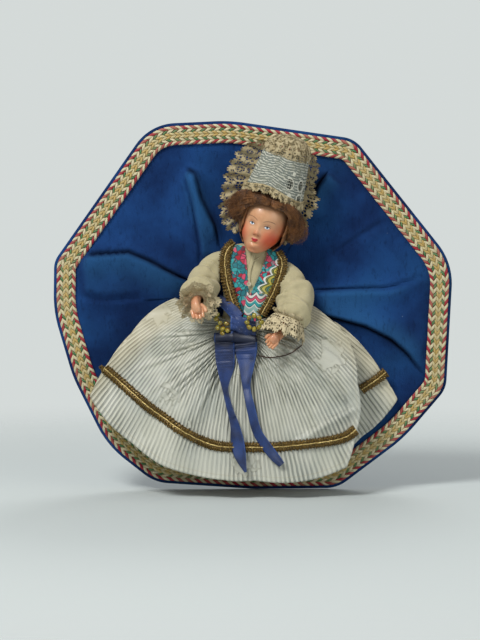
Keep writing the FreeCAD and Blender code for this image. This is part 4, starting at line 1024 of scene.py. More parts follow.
def laceMaterial(name, motif, window, border, mesh=1.35, light="b9aa83", dark="7d6c48"):
    # bobbin lace on a UV map in millimetres: an open net, woven leaves with pin holes, round windows with a
    # lattice and a cord around each, and loops along the scalloped edge
    material, shader, spot, flat = newMaterial(name, 0.85, Sheen_Weight=0.0, Specular_IOR_Level=0.2)
    net = 1 - flat.cells(1 / mesh, "DISTANCE_TO_EDGE", 0, 0.45).step(0.10, 0.17)
    pins = 1 - flat.cells(1.15, "F1", 0, 0.7).step(0.20, 0.30)
    woven = flat.cloud(0.40, 2).step(0.51, 0.53) * (1 - pins)
    far = flat.cells(1 / motif, "F1", 0, 0.45)
    lattice = 1 - flat.cells(0.85, "DISTANCE_TO_EDGE", 0, 0.3).step(0.10, 0.16)
    inside = 1 - far.step(window - 0.02, window)
    cord = 1 - (far - window).size().step(0.045, 0.075)
    heart = 1 - far.step(window * 0.34, window * 0.42)
    solid = inside.tint(net.most(woven), lattice.most(heart)).most(cord)
    if border is not None:
        low, high = border
        solid = solid.most(1 - (flat.axis(1) - low).step(0.5, 0.7))
        scallop = (flat.axis(0) * (math.pi / 4.4)).sine().size() * 1.5 + high - 2.1
        solid = solid.most(1 - (flat.axis(1) - scallop + 0.9).size().step(0.28, 0.42))
        bars = (flat.axis(0) * (2 * math.pi / 1.1)).sine().step(-0.2, 0.2)
        beyond = (flat.axis(1) - scallop).step(-0.45, -0.35)
        solid = beyond.tint(solid, bars) * (1 - (flat.axis(1) - scallop).step(0.15, 0.25))
    thread = flat.cloud(3.2, 3)
    tinted = thread.step(0.3, 0.7).tint(dark, light)
    tinted = (cord.most(woven) * 0.5).tint(tinted, "cdbf9a")
    tinted = (flat.cloud(0.16, 2).step(0.45, 0.7) * 0.35).tint(tinted, "a08b62")
    feed(shader, bump=solid * 0.7 + thread * 0.5, strength=0.8, distance=0.0004, Base_Color=tinted,
         Alpha=solid.step(0.3, 0.6))
    return material


def netMaterial():
    # fine linen net with darned waves, and lattice windows on the right
    material, shader, spot, flat = newMaterial("linenNet", 0.85, Sheen_Weight=0.0, Specular_IOR_Level=0.2)
    up = flat.axis(1)
    sway = flat.cloud(0.20, 3)
    bands = (up * 5.6 + sway * 13 + (flat.axis(0) * 0.45).sine() * 1.3).sine()
    short = flat.stretched(0.5, 1.0, 1).cloud(1.0, 2).step(0.40, 0.50)
    darned = bands.step(0.0, 0.5) * short
    gaps = (1 - bands.step(-0.85, -0.25)) * flat.stretched(0.7, 1.2, 1).cloud(1.0, 2).step(0.42, 0.52)
    cross = ((flat.axis(0) * 8).sine() * 0.5 + 0.5) * ((up * 8).sine() * 0.5 + 0.5)
    fancy = flat.cells(0.17, "F1", 0, 0.5)
    where = flat.axis(0).step(46.0, 46.5) * (1 - flat.axis(0).step(58.0, 60.0))
    windows = (1 - fancy.step(0.36, 0.38)) * where
    lattice = 1 - (flat.cells(0.85, "DISTANCE_TO_EDGE", 0, 0.2)).step(0.09, 0.15)
    ring = (1 - (fancy - 0.40).size().step(0.04, 0.07)) * where
    colour = cross.step(0.05, 0.6).tint("767c74", cap["netWhite"])
    colour = (gaps * 0.5).tint(colour, "4c5554")
    colour = (darned * 0.85).most(ring).tint(colour, cap["linen"])
    colour = (flat.cloud(0.3, 3).step(0.42, 0.75) * 0.4).tint(colour, "8f8e78")
    openings = windows * (1 - lattice)
    feed(shader, bump=cross * 0.4 + darned.most(ring), strength=0.8, distance=0.0004, Base_Color=colour,
         Alpha=(1 - openings).step(0.3, 0.6))
    return material


def capRing(angle, z):
    # the cap's oval at a height, angle 0 looks forward
    share = min(1.0, max(0.0, (z - cap["low"]) / (cap["crownTop"] - cap["low"])))
    wide = cap["width"] / 2 * (1.03 - cap["taper"] * share)
    deep = cap["depth"] / 2 * (1.03 - 0.19 * share)
    return wide * math.sin(angle), -doll["forward"] - deep * math.cos(angle)


def makeCap():
    bandLace = laceMaterial("brimLace", 2.6, 0.20, (0.0, 5.0), 0.8)
    topLace = laceMaterial("topLace", 4.6, 0.30, None, 1.1)
    net = netMaterial()

    def arch(angle):
        # the brim rises over the forehead
        return 3.3 * math.exp(-((math.degrees(angle) + 18) / 42) ** 2)

    def brim(u, v):
        angle = turnOf(u)
        front = ease(0.0, 1.0, math.cos(angle))
        low = 28.4 + arch(angle) - 1.3 * ease(0.3, 1.4, angle) * front
        z = low + cap["brimHeight"] * (1 - v)
        x, y = capRing(angle, z)
        lift = 1.05 + 0.045 * math.sin(angle * 31 + 2 * rough((angle * 4, v, 1))) * v ** 0.6
        return x * lift, (y + 2.5) * lift - 2.5 - 0.4 * v, z

    cloth(bentGrid(220, 8, brim, True, (cap["girth"], cap["brimHeight"])), "capBrim", bandLace, 0.25, "head",
          ["cap_brim"], headFrame)

    def crown(u, v):
        angle = turnOf(u)
        low = 29.6 + arch(angle)
        z = low + (cap["crownTop"] + 0.4 - low) * v
        x, y = capRing(angle, z)
        pucker = 0.22 * rough((angle * 3, z * 0.25, 5)) + 0.15 * math.sin(angle * 18) * ease(0.75, 1.0, v)
        return x * (1 + pucker * 0.06), y - pucker * 0.6, z

    obj = cloth(bentGrid(160, 30, crown, True, (cap["girth"], 18.0)), "capCrown", net, 0.3, "head", ["cap_crown"],
                headFrame)

    # the gathered top: up and share of the crown's width
    topLine = [(0.0, 1.0), (0.30, 0.985), (0.62, 0.86), (0.88, 0.58), (0.985, 0.25), (1.0, 0.0)]

    def top(u, v):
        angle = turnOf(u)
        up, wide = along(topLine, v)
        z = cap["crownTop"] - 0.6 + up * (cap["topHeight"] + 0.4)
        x, y = capRing(angle, cap["crownTop"])
        gather = 1 + 0.035 * math.sin(angle * 15 + 2 * v) * math.sin(math.pi * min(v * 1.2, 1))
        return (x * wide * gather * 1.02, (y + 2.5) * wide * gather * 1.02 - 2.5,
                z + 0.4 * rough((angle * 2, v * 4, 2)))

    obj = cloth(weld(bentGrid(160, 34, top, True, (cap["girth"], 20.0))), "capTop", topLace, 0.3, "head", ["cap_top"],
                headFrame)

    # frills: the outer edge, then the root's place across, its low and its high end, and the lace's height
    edges = {
        "left": [(-0.44, 0.20), (-0.68, 0.24), (-0.86, 0.44), (-0.95, 0.74), (-1.0, 1.10), (-0.99, 1.38),
                 (-0.92, 1.66), (-0.76, 1.88), (-0.50, 2.03)],
        "right": [(0.44, 0.27), (0.63, 0.36), (0.77, 0.56), (0.80, 0.90), (0.87, 1.24), (0.72, 1.44), (0.68, 1.66),
                  (0.66, 1.88), (0.50, 2.05)]}
    roots = {"left": (-0.36, 0.50, 1.98, 13.0), "right": (0.36, 0.46, 1.98, 10.0)}
    for side, edge in edges.items():
        reach = cap["frillReach"]
        rootX, rootLow, rootHigh, tall = roots[side]
        frillLace = laceMaterial("frillLace" + side.title(), 6.2, 0.36, (0.0, tall))

        def frill(u, v, edge=edge, rootX=rootX, rootLow=rootLow, rootHigh=rootHigh):
            x, z = along(edge, u)
            inX, inZ = rootX, rootLow + (rootHigh - rootLow) * u
            phase = u * 2 * math.pi * cap["gathers"]
            gather = math.sin(phase) * 1.15 * v
            curl = 1.6 * v * v
            crimp = 1 + 0.025 * math.cos(phase + 1) * v
            return ((inX + (x - inX) * v * crimp) * reach, 1.1 - gather - curl + 1.2 * (1 - v),
                    (inZ + (z - inZ) * v * crimp) * reach)

        obj = cloth(bentGrid(220, 24, frill, spread=(62.0, tall)), "capFrill" + side.title(), frillLace, 0.25, "head",
                    ["cap_frill_" + side], headFrame)


makeCap()
print("cap made")


# ---- the clothes on the trunk
dress = dict(depthLine=-13.5, cotton="bab08a", cottonShade="958a66", turquoise="2f9a9c", pink="cf4a66",
             outline="15262b", white="dcdcd2", olive="8f9a3e", teal="1c6f78", paleTeal="8fb5ac", yellow="c7b84e")
# garment rings on the trunk: up, half width, half depth
garmentRings = [
    (0.0, 9.8, 6.6), (6.0, 9.6, 6.8), (14.0, 11.2, 7.2), (22.0, 13.4, 7.6), (28.5, 15.2, 7.4), (33.0, 15.6, 6.9),
    (36.5, 14.2, 6.3), (38.8, 10.5, 5.7), (40.2, 6.4, 5.2)]


def onTrunk(x, z, grow):
    wide, deep = between(garmentRings, z)[1:]
    share = max(0.03, 1 - (x / (wide + grow)) ** 4)
    return x, dress["depthLine"] - (deep + grow) * math.sqrt(share), z


def cottonMaterial():
    material, shader, spot, flat = newMaterial("cotton", 0.9, Sheen_Weight=0.15)
    weave = ((spot.axis(0) * 9000).sine() * (spot.axis(2) * 9000).sine())
    slub = spot.stretched(1, 1, 3).cloud(700, 3)
    age = spot.cloud(70, 4).step(0.35, 0.75)
    colour = (age * 0.42).tint(dress["cotton"], dress["cottonShade"])
    colour = (slub.step(0.5, 0.8) * 0.2).tint(colour, "d8d0b2")
    feed(shader, bump=weave * 0.25 + slub, strength=0.35, distance=0.0003, Base_Color=colour)
    return material


def printMaterial():
    # a generic flowered print on a UV map in millimetres of the doll's front
    material, shader, spot, flat = newMaterial("floweredPrint", 0.75)
    x = flat.axis(0)
    z = flat.axis(1)
    edge = flat.cells(0.46, "DISTANCE_TO_EDGE", 0, 0.85)
    shade = flat.cells(0.46, "F1", 1, 0.85).axis(0)
    cluster = flat.cloud(0.16, 1).step(0.44, 0.50)
    colour = shade.step(0.30, 0.34).tint(dress["teal"], dress["turquoise"])
    colour = (cluster * shade.step(0.52, 0.54)).tint(colour, dress["pink"])
    colour = (cluster * shade.step(0.82, 0.84)).tint(colour, "a5182c")
    small = flat.cells(1.5, "F1", 0, 0.9)
    colour = ((1 - small.step(0.16, 0.22)) * (1 - cluster * shade.step(0.52, 0.54))).tint(colour, "62bdb6")
    colour = ((1 - edge.step(0.03, 0.085)) * 0.85).tint(colour, dress["outline"])
    # the bordered corner at the lower right: white scallops, pink and turquoise waves
    level = z + (x * 0.66 + 0.2).sine().size() * 2.0 - x * 0.10
    here = x.step(-0.4, 0.1) * (1 - level.step(17.6, 17.8))
    bands = [(17.0, 0.65, "white"), (15.4, 0.95, "pink"), (14.1, 0.35, "white"), (12.9, 0.85, "turquoise"),
             (11.6, 0.45, "white"), (10.0, 1.15, "paleTeal"), (8.4, 0.45, "white"), (16.2, 0.14, "outline"),
             (14.55, 0.12, "outline"), (12.0, 0.12, "outline")]
    for middle, half, name in bands:
        band = here * (1 - (level - middle).size().step(half, half + 0.1))
        colour = band.tint(colour, dress[name])
    # a scalloped leaf beside the right braid
    bow = x - 7.0 - (z - 20.0).most(0.0) * 0.45 + (z * 0.66 + 0.5).sine().size() * 2.2
    tall = z.step(17.6, 18.0) * x.step(3.0, 3.2)
    colour = (tall * bow.step(-0.1, 0.1)).tint(colour, dress["olive"])
    stripes = [(2.4, 0.55, "yellow"), (4.4, 0.35, "teal"), (1.55, 0.16, "outline"), (3.5, 0.16, "outline"),
               (0.0, 0.48, "white"), (0.75, 0.15, "outline")]
    for middle, half, name in stripes:
        colour = (tall * (1 - (bow - middle).size().step(half, half + 0.1))).tint(colour, dress[name])
    weave = spot.cloud(2400, 2)
    wearAndGlintPatches = spot.cloud(120, 3).step(0.5, 0.8)
    colour = (wearAndGlintPatches * 0.22).tint(colour, "9fae9e")
    feed(shader, bump=weave, strength=0.3, distance=0.0002, Base_Color=colour)
    return material


cotton = cottonMaterial()


def makeClothes():
    def blouse(u, v):
        angle = turnOf(u)
        z = 0.4 + 39.8 * v
        wide, deep = between(garmentRings, z)[1:]
        crease = 0.35 * rough((angle * 2.4, z * 0.10, 1)) + 0.18 * rough((angle * 6, z * 0.3, 6))
        grow = crease + 0.2
        x = (wide + grow) * math.sin(angle)
        if math.cos(angle) > 0:
            return onTrunk(x * 0.995, z, grow)
        return x, dress["depthLine"] - (deep + grow) * math.cos(angle), z

    obj = cloth(bentGrid(96, 70, blouse, True), "blouse", cotton, 0.5, "root", ["blouse_body"], dollFrame)

    def placket(u, v):
        x = (u - 0.5) * 1.7 - 0.5 + 0.25 * math.sin(v * 9)
        return onTrunk(x, 17 + 20.5 * v, 0.75 + 0.15 * math.sin(math.pi * u))

    cloth(bentGrid(4, 40, placket), "placket", cotton, 0.3, "root", (), dollFrame)

    def collar(u, v):
        angle = turnOf(u)
        notch = math.exp(-(angle / 0.28) ** 2)
        height = 3.9 - 2.9 * notch
        radius = 6.2 + 0.5 * v + 0.8 * notch * v + 0.15 * rough((angle * 3, v * 2, 4))
        return radius * math.sin(angle), 0.5 - radius * 1.02 * math.cos(angle), -3.6 + height * v

    obj = cloth(bentGrid(90, 10, collar, True), "blouseCollar", cotton, 0.7, "root", ["collar"], headFrame)
    made = obj.modifiers.new("soft", "SUBSURF")
    made.levels = 1
    made.render_levels = 1

    printed = printMaterial()
    # each front of the fichu: height, outer edge, inner edge
    fronts = {
        "left": [(1.5, -3.0, 2.6), (7.7, -7.0, 3.2), (13.0, -8.8, 1.6), (18.3, -10.8, 0.4), (25.5, -13.0, -1.5),
                 (31.7, -14.0, -3.0), (36.0, -13.2, -4.2), (39.2, -10.0, -5.2)],
        "right": [(1.5, 0.2, 8.4), (7.7, -0.4, 9.6), (13.0, 0.2, 11.4), (18.6, 2.2, 13.0), (26.0, 4.2, 14.4),
                  (32.5, 5.6, 14.8), (36.4, 6.2, 13.4), (39.6, 6.0, 9.6)]}
    for side, rows in fronts.items():
        layer = 0.95 if side == "left" else 1.45

        def front(u, v, rows=rows, layer=layer):
            z, first, last = along(rows, v)
            x = first + (last - first) * u
            edge = 0.12 * math.sin(z * 3.1) * (1 if u in (0, 1) else 0)
            fold = 0.25 * math.sin(u * 9 + z * 0.2) * math.sin(math.pi * u)
            return onTrunk(x + edge, z, layer + fold)

        bm = bentGrid(40, 110, front)
        layMap(bm, bm.faces, lambda spot, before: (spot.x, spot.z))
        obj = cloth(bm, "fichu" + side.title(), printed, 0.4, "root", ["fichu_" + side], dollFrame)

    # middles of the braids, across and up
    lines = {
        "left": [(-3.2, 5.5), (-7.0, 12.5), (-10.6, 20.0), (-12.9, 27.0), (-13.8, 32.0), (-13.2, 36.4),
                 (-10.8, 39.4)],
        "right": [(8.6, 7.5), (10.6, 13.0), (12.6, 19.5), (14.0, 26.0), (14.6, 31.0), (14.0, 35.5), (11.2, 38.8)]}
    for side, line in lines.items():
        def onFront(share, line=line):
            x, z = along(line, share)
            return onTrunk(x, z, 2.1)

        gimp("goldBraid" + side.title(), onFront, ["gold_braid_" + side], goldBraid["frontWidth"], dollFrame)


makeClothes()
print("clothes made")


# ---- the sleeves, cuffs and hands
# sleeves in the doll's frame: centres from the trunk to the cuff, each with its radius
sleeveLines = {
    "left": [(-12.6, -13.5, 29.6, 5.2), (-15.8, -13.6, 28.8, 6.0), (-19.6, -15.0, 25.8, 6.3),
             (-21.8, -18.6, 20.5, 6.9), (-23.0, -24.0, 15.4, 7.6), (-23.4, -29.0, 12.2, 7.9),
             (-23.5, -32.2, 10.6, 6.6), (-23.5, -33.6, 9.8, 4.2)],
    "right": [(12.8, -13.5, 29.6, 5.4), (16.2, -13.6, 28.8, 6.4), (20.4, -15.0, 25.6, 7.0), (23.6, -18.0, 20.0, 7.9),
              (24.4, -21.6, 14.6, 8.4), (23.6, -25.4, 10.4, 8.2), (22.4, -27.6, 8.0, 7.2), (21.8, -28.4, 6.8, 4.4)]}
# creases of each sleeve: place along it, lean, turn and depth
sleeveCreases = {
    "left": [(0.30, 0.06, 0.6, 0.14), (0.44, -0.08, 2.2, 0.20), (0.56, 0.09, 1.1, 0.17), (0.68, -0.05, 2.6, 0.18)],
    "right": [(0.32, 0.07, 2.4, 0.15), (0.45, -0.12, 0.9, 0.24), (0.56, 0.11, 2.0, 0.20), (0.70, -0.07, 1.2, 0.19)]}
# cuffs: where they start and point, then each layer's first and last radius, length, back set and gathers
cuffs = {
    "left": dict(start=(-23.2, -33.2, 9.4), way=(0.16, -0.90, -0.42),
                 layers=[(3.0, 11.4, 2.2, 0.0, 8), (2.8, 8.0, 3.4, 0.2, 7), (4.4, 8.8, -1.4, 0.4, 9)]),
    "right": dict(start=(21.8, -28.4, 8.4), way=(-0.18, -0.10, -0.98),
                  layers=[(6.8, 11.4, 10.2, 0.2, 9), (5.6, 9.0, 8.8, 0.0, 8), (6.9, 8.6, -1.6, 0.6, 11)])}
# hands: wrist, palm and finger tips, and their size
handLines = {
    "left": dict(wrist=(-24.2, -32.4, 10.4), palm=(-23.6, -37.4, 6.6), tips=(-20.0, -40.4, -1.6), size=1.25),
    "right": dict(wrist=(20.6, -29.6, 3.2), palm=(17.2, -34.6, -2.2), tips=(13.0, -37.4, -8.6), size=1.12)}


def tubeFrames(line, steps):
    # places along a line of centres, each with two directions across it that don't twist
    frames = []
    reference = None
    for step in range(steps + 1):
        share = step / steps
        spot = along(line, share)
        before = Vector(along(line, max(share - 0.02, 0))[:3])
        after = Vector(along(line, min(share + 0.02, 1))[:3])
        run = (after - before).normalized()
        if reference is None:
            reference = Vector((0, 0, 1)) if abs(run.z) < 0.8 else Vector((0, -1, 0))
        reference = (reference - run * reference.dot(run)).normalized()
        frames.append((Vector(spot[:3]), spot[3], reference.copy(), run.cross(reference).normalized()))
    return frames


def limb(bm, line, steps, around, shape=None, cap=False, squash=1.0):
    frames = tubeFrames(line, steps)

    def place(u, v):
        index = min(int(round(v * steps)), steps)
        centre, radius, first, second = frames[index]
        angle = 2 * math.pi * u
        size = radius * (1 + (shape(u, v) if shape else 0))
        if cap:
            size *= math.sqrt(max(0.0, 1 - max(0.0, (v - 0.86) / 0.14) ** 2))
        return centre + first * (size * math.cos(angle)) + second * (size * squash * math.sin(angle))

    addPatch(bm, around, steps, place)
    weld(bm, 0.002)


def makeArms():
    lace = laceMaterial("cuffLace", 5.2, 0.30, (0.0, 9.0), 1.35, "ddd0ae", "b3a27a")
    for side, line in sleeveLines.items():
        sign = -1 if side == "left" else 1

        def folds(u, v, sign=sign, side=side):
            turn = 2 * math.pi * u
            size = 0.14 * rough((math.cos(turn) * 1.5, math.sin(turn) * 1.5, v * 3.4 + sign))
            size += 0.035 * math.sin(turn * 13 + 3 * math.sin(v * 5)) * (ease(0.3, 0.0, v) + ease(0.72, 0.95, v))
            for middle, lean, start, deep in sleeveCreases[side]:
                gap = v - middle - lean * math.sin(turn + start)
                size -= deep * math.exp(-(gap / 0.022) ** 2) * (0.55 + 0.45 * math.cos(turn + start))
                size += deep * 0.45 * math.exp(-((gap - 0.05) / 0.04) ** 2)
            return size

        bm = bmesh.new()
        limb(bm, line, 96, 84, folds)
        obj = cloth(bm, "sleeve" + side.title(), cotton, 0.4, None, ["sleeve_" + side], dollFrame)
        ends = [dollFrame @ Vector(line[place][:3]) * mm for place in (0, 3)]
        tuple(ends[0])
        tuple(ends[1])
        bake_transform(obj)

        end = Vector(cuffs[side]["start"])
        way = Vector(cuffs[side]["way"]).normalized()
        first = Vector((1, 0, 0))
        first = (first - way * first.dot(way)).normalized()
        second = way.cross(first)
        for layer, (near, far, length, back, gathers) in enumerate(cuffs[side]["layers"]):
            def cuff(u, v, near=near, far=far, length=length, back=back, gathers=gathers, layer=layer, sign=sign):
                angle = 2 * math.pi * u
                phase = angle * gathers + 2.2 * rough((math.cos(angle) * 2, math.sin(angle) * 2, layer))
                radius = near + (far - near) * v ** 0.8 + 0.8 * math.sin(phase) * v
                radius *= 1 + 0.08 * rough((math.cos(angle) * 1.3, math.sin(angle) * 1.3, layer + 5)) * v
                out = length * v ** 1.2 + math.cos(phase) * 0.8 * v + 0.4 * rough((angle, v, layer)) * v
                return (end + first * (radius * math.cos(angle)) + second * (radius * math.sin(angle))
                        + way * (out - back))

            stands = ["cuff_lace_" + side] if layer == 0 else []
            cloth(weld(bentGrid(216, 18, cuff, spread=(64.0, 9.0)), 0.002), "cuff%s%d" % (side.title(), layer + 1),
                  lace, 0.2, "arm_" + side, stands, dollFrame)
        makeHand(side, sign)


def makeHand(side, sign):
    hand = handLines[side]
    size = hand["size"]
    wrist, palm, tips = [Vector(hand[part]) for part in ("wrist", "palm", "tips")]
    reach = (tips - palm).normalized()
    acrossHand = reach.cross(Vector((0, -1, 0.2))).normalized()
    face = acrossHand.cross(reach).normalized()
    bm = bmesh.new()
    shoulder = Vector((sign * 20.4, -13.5, 28.5))
    elbow = Vector(sleeveLines[side][4][:3])
    limb(bm, [(*shoulder, 2.6), (*elbow, 3.0), (*wrist, 2.4), (*palm, 2.4)], 24, 20)
    base = palm + reach * (1.6 * size)
    limb(bm, [(*wrist, 2.1), (*(palm - reach * 1.2), 2.6 * size), (*base, 2.75 * size),
              (*(base + reach * (1.7 * size)), 1.9 * size)], 18, 24, cap=True, squash=0.62)
    for number in range(4):
        root = base + acrossHand * ((number - 1.5) * 1.25 * size) - reach * 0.6
        length = (4.7 - 0.6 * abs(number - 1.3)) * size
        bend = face * ((0.5 + 0.25 * number) * size)
        limb(bm, [(*root, 0.74 * size), (*(root + reach * length * 0.55 + bend * 0.3), 0.72 * size),
                  (*(root + reach * length + bend * 1.2), 0.56 * size)], 14, 12, cap=True)
    thumbSide = acrossHand * sign
    root = palm + thumbSide * (1.8 * size) - reach * 0.4
    limb(bm, [(*root, 0.95 * size), (*(root + (thumbSide * 1.4 + reach * 1.7) * size), 0.85 * size),
              (*(root + (thumbSide * 1.5 + reach * 3.6 + face * 0.5) * size), 0.64 * size)], 14, 12, cap=True)
    bmesh.ops.recalc_face_normals(bm, faces=bm.faces)
    finished(bm, "hand" + side.title(), [celluloid], "arm_" + side, ["arm_" + side], dollFrame)


makeArms()
print("arms made")


# ---- the satin ribbon and the beads
# the darkest blue is painted shadow on the ribbon's top under the knot
ribbon = dict(blue="1c3468", darkBlue="070b1b", paleBlue="3f66ae", glint="aab6d4", thickness=0.35)
# ribbon tails: across, up, half width, twist in degrees
ribbonTails = {
    "left": [(-13.0, -13.5, 4.2, 0), (-14.2, -16.5, 4.8, 8), (-14.2, -21.0, 4.8, 12), (-13.8, -29.1, 4.2, 20),
             (-14.0, -38.9, 1.5, 65), (-11.8, -48.6, 1.4, 70), (-9.4, -56.5, 2.1, 40), (-8.0, -64.3, 3.1, -10),
             (-6.6, -71.7, 2.8, -20), (-4.0, -79.5, 0.5, -20)],
    "right": [(-5.2, -13.0, 5.6, 0), (-4.4, -16.5, 6.0, -6), (-3.8, -21.5, 5.4, -12), (-3.6, -29.1, 3.6, -22),
              (-3.6, -38.4, 1.9, -50), (-1.4, -48.6, 2.1, -40), (1.4, -59.4, 2.2, -35), (5.6, -66.4, 2.4, -25),
              (10.0, -72.0, 2.3, -20), (13.6, -76.0, 1.6, -20)]}


def satinMaterial(name, shadowEndsAt, glitter):
    # the UV map is in millimetres across and along the ribbon; the top of the ribbon gets painted shadow under the
    # knot, which ends at the given length along it
    material, shader, spot, flat = newMaterial(name, 0.40)
    twill = ((flat.axis(0) + flat.axis(1)) * (2 * math.pi / 0.75)).sine()
    cross = ((flat.axis(0) - flat.axis(1)) * (2 * math.pi / 0.75)).sine()
    # painted shade of the satin's folds, laid as random darker patches
    fold = spot.cloud(110, 2).step(0.36, 0.62)
    colour = fold.tint("101c3e", ribbon["blue"])
    colour = (twill.step(0.1, 0.9) * cross.step(-0.6, 0.6) * 0.5).tint(colour, ribbon["paleBlue"])
    # painted shadow: the ribbon's top under the knot is darkened to the darkest blue
    dark = 1 - (flat.axis(1) + spot.cloud(150, 1) * 6).step(shadowEndsAt, shadowEndsAt + 6.0)
    colour = (dark * 0.85).tint(colour, ribbon["darkBlue"])
    edges = 1 - (flat.axis(0) - 0.5).step(0.0, 0.3)
    colour = (edges * 0.35).tint(colour, ribbon["paleBlue"])
    dashes = (1 - flat.stretched(1.5, 0.8, 1).cells(1.0, "F1", 0, 0.7).step(0.10, 0.17)) * glitter
    colour = dashes.tint(colour, ribbon["glint"])
    feed(shader, bump=twill, strength=0.35, distance=0.0002, Base_Color=colour)
    return material


def skirtDepthAt(x, z):
    sideTurn = x - skirt["apex"][0]
    down = skirt["apex"][1] - z
    angle = math.degrees(math.atan2(sideTurn, max(down, 0.01)))
    out = skirtOut(angle, math.hypot(sideTurn, down) / skirt["reach"])
    return -skirtFront(angle, min(max(out, 0.0), 1.0))[1]


def makeRibbon():
    satin = satinMaterial("blueSatin", 12.0, 0.0)
    wrapped = satinMaterial("wrappedSatin", -9.0, 0.8)
    for side, rows in ribbonTails.items():
        def tail(u, v, rows=rows):
            x, z, half, twist = along(rows, v)
            after = along(rows, min(v + 0.02, 1))
            before = along(rows, max(v - 0.02, 0))
            run = Vector((after[0] - before[0], after[1] - before[1])).normalized()
            turn = math.radians(twist)
            shift = (u - 0.5) * 2 * half
            sideways = Vector((-run.y, run.x)) * shift
            bow = 0.35 * math.cos((u - 0.5) * math.pi) + shift * math.sin(turn) * 0.75
            bow += 0.55 * math.sin(u * 6.0 + v * 2) * ease(0.55, 0.1, v)
            under = [skirtDepthAt(x + k, z + j) for k in (-4, -2, 0, 2, 4) for j in (-1.5, 0, 1.5)]
            depth = max(under) + 1.7 + 0.5 * math.sin(v * 14)
            depth = depth * ease(0, 0.12, v) + (skirtDepthAt(x, z) + 3.6) * (1 - ease(0, 0.12, v))
            return x - sideways.x, -(depth + bow), z - sideways.y

        obj = cloth(bentGrid(12, 150, tail, spread=(9.0, 66.0)), "ribbonTail" + side.title(), satin,
                    ribbon["thickness"], "root", ["ribbon_tail_" + side])

    # the two folded tops, the band over the hip and the wrapped knot
    bm = bmesh.new()
    for x, z, half, tall, lean in ((-14.6, -14.4, 5.0, 4.6, 0.15), (-5.0, -14.8, 6.4, 5.2, -0.28)):
        def foldedTop(u, v, x=x, z=z, half=half, tall=tall, lean=lean):
            angle = math.pi * (v * 1.25 - 0.12)
            wide = half * (0.86 + 0.14 * math.sin(math.pi * v))
            shift = (u - 0.5) * 2 * wide
            under = max(skirtDepthAt(x + k, z + j) for k in (-5, 0, 5) for j in (-3, 0, 3))
            depth = under + 2.4 + 1.9 * math.sin(angle) + 0.3 * math.cos(u * 7)
            return x + shift, -depth, z + tall * 0.5 * math.cos(angle) + shift * lean * 0.5

        addPatch(bm, 14, 20, foldedTop, spread=(9.0, 9.0))
    cloth(bm, "ribbonFolds", satin, ribbon["thickness"], "root", ["bow_knot"])

    def knot(u, v):
        angle = 2 * math.pi * v
        tilt = -0.28
        x = -5.2 + (u - 0.5) * 12.4
        crowd = 0.88 + 0.12 * math.cos((u - 0.5) * 5)
        tall = 4.5 * crowd + 0.25 * math.sin(u * 22)
        depth = 27.0 + 2.6 * math.cos(angle) * crowd + 0.30 * abs(math.sin(angle * 2.5 + u * 3))
        depth += 0.35 * rough((u * 3, v * 5, 3))
        z = -9.0 + tall * math.sin(angle) + (x + 5.2) * tilt
        return x, -depth, z

    cloth(weld(bentGrid(40, 66, knot, spread=(12.0, 30.0)), 0.01), "ribbonKnot", wrapped, ribbon["thickness"], "root",
          ())

    # the band's middle line: across, up and forward
    bandLine = [(-17.6, 4.4, -20.2), (-14.0, 1.6, -22.4), (-10.0, -2.0, -24.6), (-7.4, -5.4, -27.0)]

    def band(u, v):
        x, z, y = along(bandLine, v)
        shift = (u - 0.5) * (4.4 + 2.4 * v)
        return x + shift * 0.62, y - 0.5 * math.cos((u - 0.5) * 3), z + shift * 0.78

    cloth(bentGrid(16, 40, band, spread=(5.0, 16.0)), "ribbonBand", wrapped, ribbon["thickness"], "root",
          ["ribbon_band"])


def makeThread():
    # a loose brown thread that hangs in an arc below the right cuff
    material, shader, spot, flat = newMaterial("brownThread", 0.7)
    shader.inputs["Base Color"].default_value = tone("3a1d10")
    line = [(2.0, -23.5), (8.2, -24.4), (15.7, -23.2), (21.2, -20.2), (23.6, -18.4)]
    path = []
    for k in range(41):
        x, z = along(line, k / 40)
        path.append((x, -skirtDepthAt(x, z) - 0.9, z))
    threads("brownThread", [path], 0.28, material)


def beadMaterial():
    material, shader, spot, flat = newMaterial("amberBead", 0.16, Coat_Weight=0.6, Transmission_Weight=0.25)
    shade = spot.cloud(330, 1).step(0.40, 0.60)
    colour = shade.tint("7a5414", "b3a02f")
    colour = (spot.cloud(210, 1).step(0.55, 0.7) * 0.6).tint(colour, "9fa02e")
    feed(shader, Base_Color=colour)
    return material


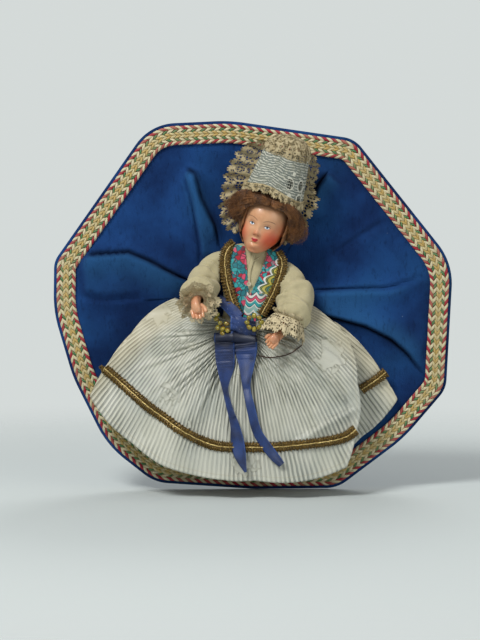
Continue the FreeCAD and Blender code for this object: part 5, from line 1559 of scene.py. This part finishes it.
def makeBeads():
    amber = beadMaterial()
    turns = [k * math.pi / 4 for k in range(8)]
    ring = [(0.2 + 3.5 * math.cos(turn), -31.0, -7.0 + 3.3 * math.sin(turn)) for turn in turns]
    cluster = [(-18.4, -27.4, -5.6), (-16.4, -27.8, -7.6), (-17.8, -28.2, -9.8), (-15.2, -28.6, -10.2),
               (-13.4, -28.4, -7.8), (-15.4, -28.0, -12.6), (-12.8, -28.8, -11.0), (-18.0, -27.0, -3.4)]
    for name, node, places in (("beadRing", "bead_ring", ring), ("beadCluster", "bead_cluster", cluster)):
        bm = bmesh.new()
        for index, place in enumerate(places):
            made = bmesh.ops.create_uvsphere(bm, u_segments=16, v_segments=10, radius=1.42)
            turn = Matrix.Rotation(index * 0.8, 4, "Y")
            bmesh.ops.scale(bm, vec=(1, 1, 0.82), verts=made["verts"])
            bmesh.ops.transform(bm, matrix=Matrix.Translation(place) @ turn, verts=made["verts"])
        finished(bm, name, [amber], "root", [node])


makeRibbon()
makeThread()
makeBeads()
print("ribbon and beads made")


# ---- the inner pieces, which keep their CAD shapes
inner = dict(card="9c8a6c", cardFleck="6f5f45", celluloid="dcae8b", celluloidShade="c08d68", elastic="c9bda2",
             elasticShade="8f836b", button="cfc6ac", buttonShade="8d8168")


def innerMaterial(name, base, shade, scale, roughness, stretch=1.0):
    material, shader, spot, flat = newMaterial(name, roughness)
    grain = spot.stretched(1, 1, stretch).cloud(scale, 3)
    colour = grain.step(0.35, 0.70).tint(inner[base], inner[shade])
    feed(shader, bump=grain, strength=0.3, distance=0.0002, Base_Color=colour)
    return material


def dressInner():
    finishes = {
        innerMaterial("rawCard", "card", "cardFleck", 900, 0.9): ["card_stiffener"],
        innerMaterial("plainCelluloid", "celluloid", "celluloidShade", 45, 0.35): ["torso", "leg_left", "leg_right"],
        innerMaterial("coveredElastic", "elastic", "elasticShade", 1600, 0.8, 0.2):
            ["shoulder_elastic", "hip_elastic", "neck_elastic"],
        innerMaterial("pearlButton", "button", "buttonShade", 500, 0.3): ["blouse_button"]}
    for material, names in finishes.items():
        for name in names:
            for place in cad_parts[name].material_slots:
                place.material = material


dressInner()
print("inner pieces finished")
